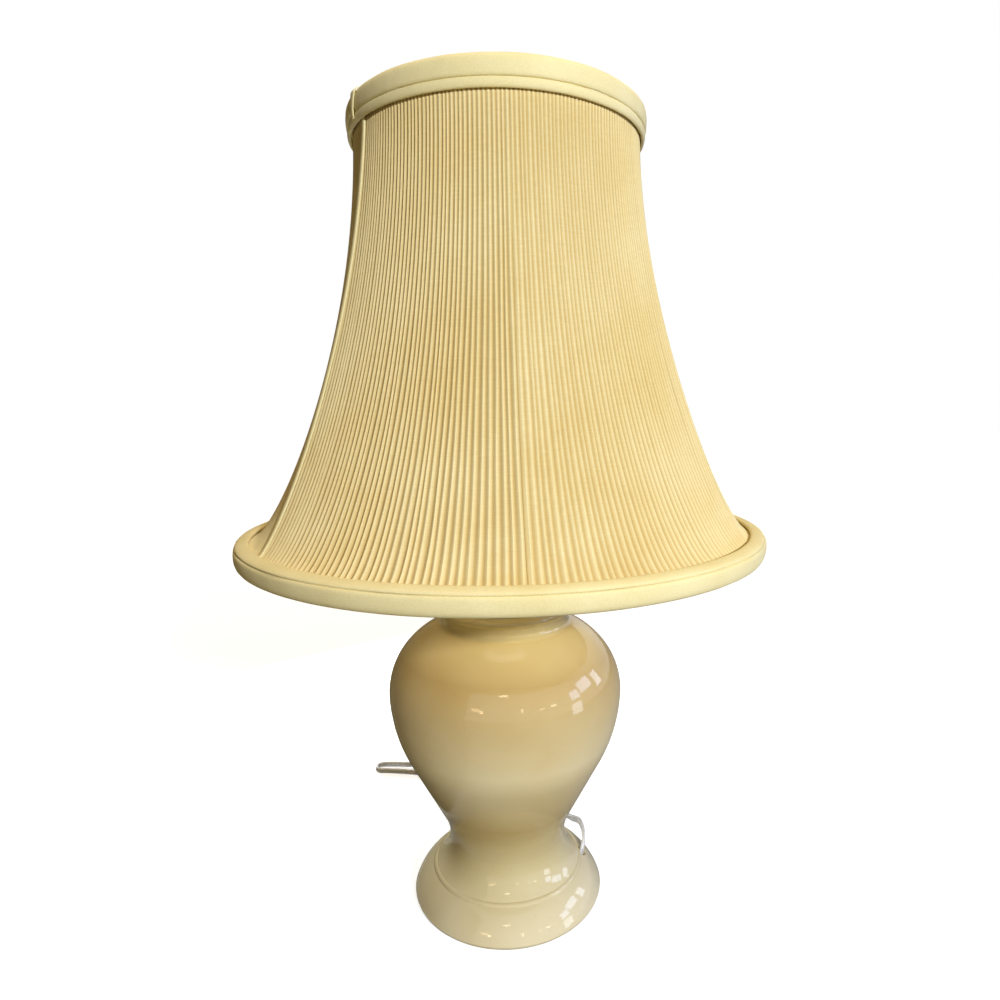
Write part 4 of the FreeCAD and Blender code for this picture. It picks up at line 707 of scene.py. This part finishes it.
LINING_INSET = 4.6
LINING_END = 0.935
LINING_WIDTH = 0.8
lining = bmesh.new()
bmesh.ops.create_grid(lining, x_segments=240, y_segments=40, size=0.5)
lining_uv = lining.loops.layers.uv.new("cloth")
lining_places = {}
for vert in lining.verts:
    turn = (vert.co.x + 0.5) * PANELS
    panel = min(int(turn), PANELS - 1)
    share = (0.5 - vert.co.y) * LINING_END
    # The cloth ripples between the ribs that it is sewn to.
    free = min(1.0, abs(turn - round(turn)) * 6)
    ripple = 0.25 * free * noise.noise(Vector((turn * 9, share * 4, 3.0)))
    lining_places[vert] = ((vert.co.x + 0.5) * LINING_WIDTH, share * 0.3)
    vert.co = cloth_point(panel, turn - panel, share, LINING_INSET + ripple)
unfold(lining, lining_uv, lining_places)
bmesh.ops.remove_doubles(lining, verts=lining.verts, dist=1e-6)
shade_lining = piece("lining_cloth", lining, lining_taffeta)
thicken(shade_lining, 0.0003)
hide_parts("shade_lining")
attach(shade_lining, "shade")

# ---- Rim trims
# Bias tape of plain cream cotton, folded over each ring and glued: a wide tape outside, and
# a narrow folded one that covers the cut ends of the pleats.

# Matt and smooth, soiled in soft patches 30 mm across, its weave drawn at 0.8 mm to show.
bias_cotton, bias_shader = surface("bias_cotton", Roughness=0.85, Sheen_Weight=0.02,
                                   Sheen_Roughness=0.5, Specular_IOR_Level=0.0)
bias_space = add(bias_cotton, "TexCoord").outputs["Object"]
bias_weave = add(bias_cotton, "TexNoise", {"Vector": bias_space, "Scale": 1300, "Detail": 3,
                                           "Roughness": 0.55})
bias_soil = add(bias_cotton, "TexNoise", {"Vector": bias_space, "Scale": 35, "Detail": 3,
                                          "Roughness": 0.55})
bias_tone = add(bias_cotton, "ValToRGB", {"Fac": bias_soil},
                stops=[(0.3, "#efe2aa"), (0.7, "#f5eab7")])
bias_shade = add(bias_cotton, "ValToRGB", {"Fac": bias_weave},
                 stops=[(0.35, "#f6f6f4"), (0.65, "#ffffff")])
bias_mix = add(bias_cotton, "Mix", {0: 1.0, 6: bias_tone, 7: bias_shade},
               data_type="RGBA", blend_type="MULTIPLY")
bias_relief = add(bias_cotton, "Bump", {"Height": bias_weave, "Distance": 0.00008,
                                        "Strength": 0.3})
feed(bias_shader, {"Base Color": bias_mix.outputs[2], "Normal": bias_relief})


def tape_ring(name, outline, waver, seed, nodes):
    """Tape round the rim: a closed section of (radius, height) in millimetres, spun."""
    ring = bmesh.new()
    corners = [ring.verts.new((radius / 1000, 0, height / 1000)) for radius, height in outline]
    edges = [ring.edges.new((corners[at], corners[(at + 1) % len(corners)]))
             for at in range(len(corners))]
    bmesh.ops.spin(ring, geom=corners + edges, cent=(0, 0, 0), axis=(0, 0, 1),
                   angle=2 * math.pi, steps=240, use_merge=True)
    bmesh.ops.remove_doubles(ring, verts=ring.verts, dist=1e-7)
    bmesh.ops.recalc_face_normals(ring, faces=ring.faces)
    for vert in ring.verts:
        flat = Vector((vert.co.x, vert.co.y, 0))
        drift = noise.noise(Vector((vert.co.x * 28, vert.co.y * 28, seed)))
        crease = noise.noise(Vector((vert.co.x * 160, vert.co.y * 160, vert.co.z * 60 + seed)))
        vert.co += flat.normalized() * (drift * waver + crease * waver * 0.35) / 1000
        vert.co.z += drift * waver * 0.6 / 1000
    made = piece(name, ring, bias_cotton)
    soft = made.modifiers.new("soft", "SUBSURF")
    soft.levels = 1
    soft.render_levels = 1
    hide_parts(*nodes)
    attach(made, "shade")
    return made


wide_top = tape_ring("wide_tape_top", [
    (95.6, 545.9), (97.6, 545.7), (98.5, 547.2), (98.8, 552.5), (98.3, 556), (96.3, 558.3),
    (93.0, 558.4), (90.8, 557.2), (90.4, 554.8), (91.4, 554.6), (92.4, 556.6), (95.2, 557.0),
    (96.8, 554.6), (96.6, 549.5)], 0.35, 1.0, ["top_band"])
narrow_top = tape_ring("narrow_tape_top", [
    (95.2, 540.4), (96.6, 540.2), (97.5, 541.4), (98.0, 543.3), (97.6, 545.3), (96.6, 546.2),
    (95.0, 546.6), (95.1, 543.2)], 0.25, 2.0, ["top_roll"])
narrow_bottom = tape_ring("narrow_tape_bottom", [
    (171.2, 285.4), (172.6, 284.3), (176, 284.1), (179.2, 284.0), (180.3, 284.7),
    (179.6, 286.0), (176.4, 287.2), (172.6, 287.6), (171.2, 287.2)], 0.4, 3.0,
    ["bottom_roll"])
wide_bottom = tape_ring("wide_tape_bottom", [
    (170.5, 275.5), (171.6, 273.4), (174.6, 272.7), (178.6, 272.8), (180.9, 275.0),
    (181.5, 278.6), (181.3, 282.4), (180.6, 284.3), (178.2, 284.7), (178.4, 281.0),
    (178.6, 276.8), (177.4, 274.6), (174.4, 274.3), (172.2, 275.8), (172.0, 279.4),
    (170.6, 279.5)], 0.55, 4.0, ["bottom_band"])

# ---- Seam strip
# Narrow strip of the trims' cotton with its edges turned under, glued over the joint of the
# cover along one rib.

SEAM_AZIMUTH = math.radians(FIRST_RIB) - PANEL_ANGLE
SEAM_WIDTH = 4.6
SEAM_TOP, SEAM_RUN = 0.006, 0.946
strip = bmesh.new()
bmesh.ops.create_grid(strip, x_segments=6, y_segments=60, size=0.5)
strip_uv = strip.loops.layers.uv.new("cloth")
strip_places = {}
for vert in strip.verts:
    share = SEAM_TOP + (0.5 - vert.co.y) * SEAM_RUN
    place, normal = bell_line(share)
    swell = 0.75 * (1 - (2 * vert.co.x) ** 4) + 0.25
    place = place + normal * swell
    sway = noise.noise(Vector((share * 6, 0, 9.0))) * 0.3
    azimuth = SEAM_AZIMUTH + (vert.co.x * SEAM_WIDTH + sway) / place.x
    strip_places[vert] = (vert.co.x * SEAM_WIDTH / 1000, share * COVER_LENGTH)
    vert.co = at_azimuth(place.x, azimuth, place.y)
unfold(strip, strip_uv, strip_places)
seam_strip = piece("seam_strip", strip, bias_cotton)
thicken(seam_strip, 0.0006)
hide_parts("cover_seam")
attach(seam_strip, "shade")

# ---- Tape end
# The free end of the wide tape, of the same cotton, turned under and lapped over its start
# beside the seam, where it is glued down.

TAB_AZIMUTH = math.radians(-60)
TAB_TOP, TAB_LENGTH = 558.6, 17
TAB_WIDTH, TAB_TAPER = 7.4, 3.4
TAB_CURL = 1.3
TAPE_FACE = 98.7
flap = bmesh.new()
bmesh.ops.create_grid(flap, x_segments=8, y_segments=24, size=0.5)
for vert in flap.verts:
    down = 0.5 - vert.co.y
    width = TAB_WIDTH - TAB_TAPER * down ** 2 + 0.7 * math.sin(down * 7)
    curl = math.sin(math.pi * min(down * 0.9 + 0.1, 1.0)) ** 0.6
    ridge = max(0.0, 1 - (2 * vert.co.x - 0.2) ** 2 / 1.44) ** 0.8
    lift = 0.2 + TAB_CURL * curl * ridge
    tuck = 16 * max(0.0, 0.14 - down)
    lean = 1.4 - 3.0 * down
    azimuth = TAB_AZIMUTH + (vert.co.x * width + lean) / 99
    vert.co = at_azimuth(TAPE_FACE + lift - tuck, azimuth, TAB_TOP - down * TAB_LENGTH)
tape_end = piece("tape_end", flap, bias_cotton)
thicken(tape_end, 0.0006)
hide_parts("trim_tab")
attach(tape_end, "shade")

# ---- Studio
# Pale floor and white surround, dark cards at the left, one small hard lamp at the right with
# soft ones round it, the panes of a window for the glaze to mirror, and the picture's camera.


def room_piece(name, shape, material):
    """Turns a bmesh into a named thing of the room round the lamp."""
    mesh = bpy.data.meshes.new(name)
    shape.to_mesh(mesh)
    shape.free()
    mesh.materials.append(material)
    made = bpy.data.objects.new(name, mesh)
    bpy.context.collection.objects.link(made)
    return made


# Matt paper: pale where it is looked at, and greyer for the light that it throws up.
pale_floor, floor_shader = surface("pale_floor", Roughness=0.9, Specular_IOR_Level=0.1)
floor_path = add(pale_floor, "LightPath")
floor_tone = add(pale_floor, "Mix", {0: floor_path.outputs["Is Camera Ray"],
                                     6: linear("#96968c"), 7: linear("#f4f3f0")},
                 data_type="RGBA")
# The floor glows towards the camera, more so further off, and a little in reflections.
floor_space = add(pale_floor, "TexCoord").outputs["Object"]
reach = add(pale_floor, "VectorMath", {0: floor_space}, operation="LENGTH")
spread = add(pale_floor, "MapRange", {"Value": reach.outputs["Value"], "From Min": 0.3,
                                      "From Max": 1.3, "To Min": 0.70, "To Max": 0.93})
mirrored = add(pale_floor, "Math", {0: floor_path.outputs["Is Glossy Ray"], 1: 0.18},
               operation="MULTIPLY")
looked_at = add(pale_floor, "Math", {0: floor_path.outputs["Is Camera Ray"], 1: mirrored},
                operation="MAXIMUM")
glow = add(pale_floor, "Math", {0: looked_at, 1: spread}, operation="MULTIPLY")
feed(floor_shader, {"Base Color": floor_tone.outputs[2], "Emission Strength": glow,
                    "Emission Color": linear("#ffffff")})
floor_shape = bmesh.new()
bmesh.ops.create_grid(floor_shape, x_segments=1, y_segments=1, size=6)
floor = room_piece("floor", floor_shape, pale_floor)

# Dull card, lit a little by itself, lighter and darker over half a metre.
dark_card, flag_shader = surface("dark_card", Roughness=0.9, Emission_Strength=0.6,
                                 Base_Color=linear("#1c1911"))
flag_space = add(dark_card, "TexCoord").outputs["Object"]
flag_drift = add(dark_card, "TexNoise", {"Vector": flag_space, "Scale": 2, "Detail": 2,
                                         "Roughness": 0.55})
flag_tone = add(dark_card, "ValToRGB", {"Fac": flag_drift},
                stops=[(0.3, "#3a3526"), (0.7, "#8a8268")])
feed(flag_shader, {"Emission Color": flag_tone})

surround = bpy.data.worlds.new("surround")
bpy.context.scene.world = surround
surround.use_nodes = True
# Dim and warm for the light that it gives, white where it is looked at or mirrored.
dim = surround.node_tree.nodes["Background"]
feed(dim, {"Color": linear("#ffdc9c"), "Strength": 0.115})
white = add(surround, "Background", {"Color": linear("#ffffff")})
surround_path = add(surround, "LightPath")
seen = 0
for ray in ("Is Camera Ray", "Is Glossy Ray", "Is Transmission Ray"):
    seen = add(surround, "Math", {0: surround_path.outputs[ray], 1: seen},
               operation="MAXIMUM")
choice = add(surround, "MixShader", {0: seen, 1: dim, 2: white})
feed(surround.node_tree.nodes["World Output"], {"Surface": choice})

SHADE_MIDDLE = (0, 0, 0.33)
JAR_SHOULDER = Vector((0.03, -0.05, 0.18))
PANE_DISTANCE = 1.2


def lamp(name, place, target, size, power, colour):
    """Soft rectangular lamp that points at a target."""
    data = bpy.data.lights.new(name, "AREA")
    data.shape = "RECTANGLE"
    data.size, data.size_y = size
    data.energy = power
    data.color = linear(colour)[:3]
    made = bpy.data.objects.new(name, data)
    made.location = place
    made.rotation_euler = (Vector(target) - Vector(place)).to_track_quat("-Z", "Y").to_euler()
    bpy.context.collection.objects.link(made)
    return made


# These lamps light the surfaces without being mirrored in the glaze.
for name, place, size, power, colour in (
        ("key", (0.66, -1.47, 0.86), (0.12, 0.12), 25.5, "#f8faff"),
        ("top", (-0.05, 0.1, 1.75), (0.6, 0.6), 10, "#ffe8c4"),
        ("side", (1.2, 0.3, 0.1), (0.8, 0.4), 4.8, "#6a94ff"),
        ("fill", (-0.9, -1.2, 0.15), (0.8, 0.3), 0.4, "#ffdc9c")):
    lamp(name, place, SHADE_MIDDLE, size, power, colour).visible_glossy = False
lamp("low_rear", (-0.3, 0.42, 0.14), (-0.12, 0.17, 0), (0.1, 0.1), 1.6,
     "#eef4ff").visible_glossy = False
# Panes of light that only the glaze mirrors: their turn from the front and their rise in
# degrees, seen from the jar's shoulder, then width, depth, power and colour.
WINDOWS = [(70, 15, 0.22, 0.24, 1.1, "#c4d4ff"), (69, -2, 0.24, 0.30, 1.3, "#d4dcf0"),
           (86, 19, 0.34, 0.28, 1.9, "#c9d8ff"), (104, 13, 0.18, 0.34, 1.1, "#d6e0fa"),
           (-4, 37, 0.16, 0.05, 0.3, "#fff0d0"), (-30, 14, 0.16, 0.10, 0.3, "#ffd9a0"),
           (-24, 12, 0.05, 0.09, 0.2, "#ffdca8"), (45, 13, 0.10, 0.07, 0.2, "#fff0d8"),
           (14, 14, 0.03, 0.13, 0.12, "#ffe6bc"), (33, 12, 0.10, 0.03, 0.08, "#ffe9c4")]
for number, (turn, rise, width, depth, power, colour) in enumerate(WINDOWS):
    turn, rise = math.radians(turn), math.radians(rise)
    away = Vector((math.sin(turn) * math.cos(rise), -math.cos(turn) * math.cos(rise),
                   math.sin(rise)))
    pane = lamp("pane_" + str(number), JAR_SHOULDER + away * PANE_DISTANCE, JAR_SHOULDER,
                (width, depth), power, colour)
    pane.visible_diffuse = False
# Dark cards at the left, mirrored in the glaze as the dark side of the room.
for name, corners in (
        ("left_flag", [(-1.2, -1.6, 0), (-1.2, 1.4, 0), (-1.2, 1.4, 2), (-1.2, -1.6, 2)]),
        ("back_flag", [(-1.2, 1.4, 0), (0.2, 1.9, 0), (0.2, 1.9, 2), (-1.2, 1.4, 2)]),
        ("low_flag", [(-1.2, -1.6, 0.002), (-0.3, -0.5, 0.002), (-0.085, -0.12, 0.002),
                      (-0.085, 0.1, 0.002), (0.1, 1.9, 0.002), (-1.2, 1.4, 0.002)])):
    card = bmesh.new()
    card.faces.new([card.verts.new(corner) for corner in corners])
    flag = room_piece(name, card, dark_card)
    flag.visible_camera = flag.visible_diffuse = flag.visible_shadow = False

# The camera stands 0.49 m in front and looks down, a little to the right.
CAMERA_PLACE = (0, -0.4903, 0.3752)
CAMERA_PAN, CAMERA_DIP, CAMERA_ROLL = -2.3, 8.34, -0.51
camera_data = bpy.data.cameras.new("camera")
camera_data.sensor_width = 36
camera_data.lens = 24.66
camera_data.shift_x = -0.03
camera_data.clip_start = 0.01
camera = bpy.data.objects.new("camera", camera_data)
camera.location = CAMERA_PLACE
aim = (Matrix.Rotation(math.radians(CAMERA_PAN), 3, "Z")
       @ Matrix.Rotation(math.radians(90 - CAMERA_DIP), 3, "X")
       @ Matrix.Rotation(math.radians(CAMERA_ROLL), 3, "Z"))
camera.rotation_euler = aim.to_euler()
bpy.context.collection.objects.link(camera)
bpy.context.scene.camera = camera
bpy.context.scene.view_settings.view_transform = "Standard"
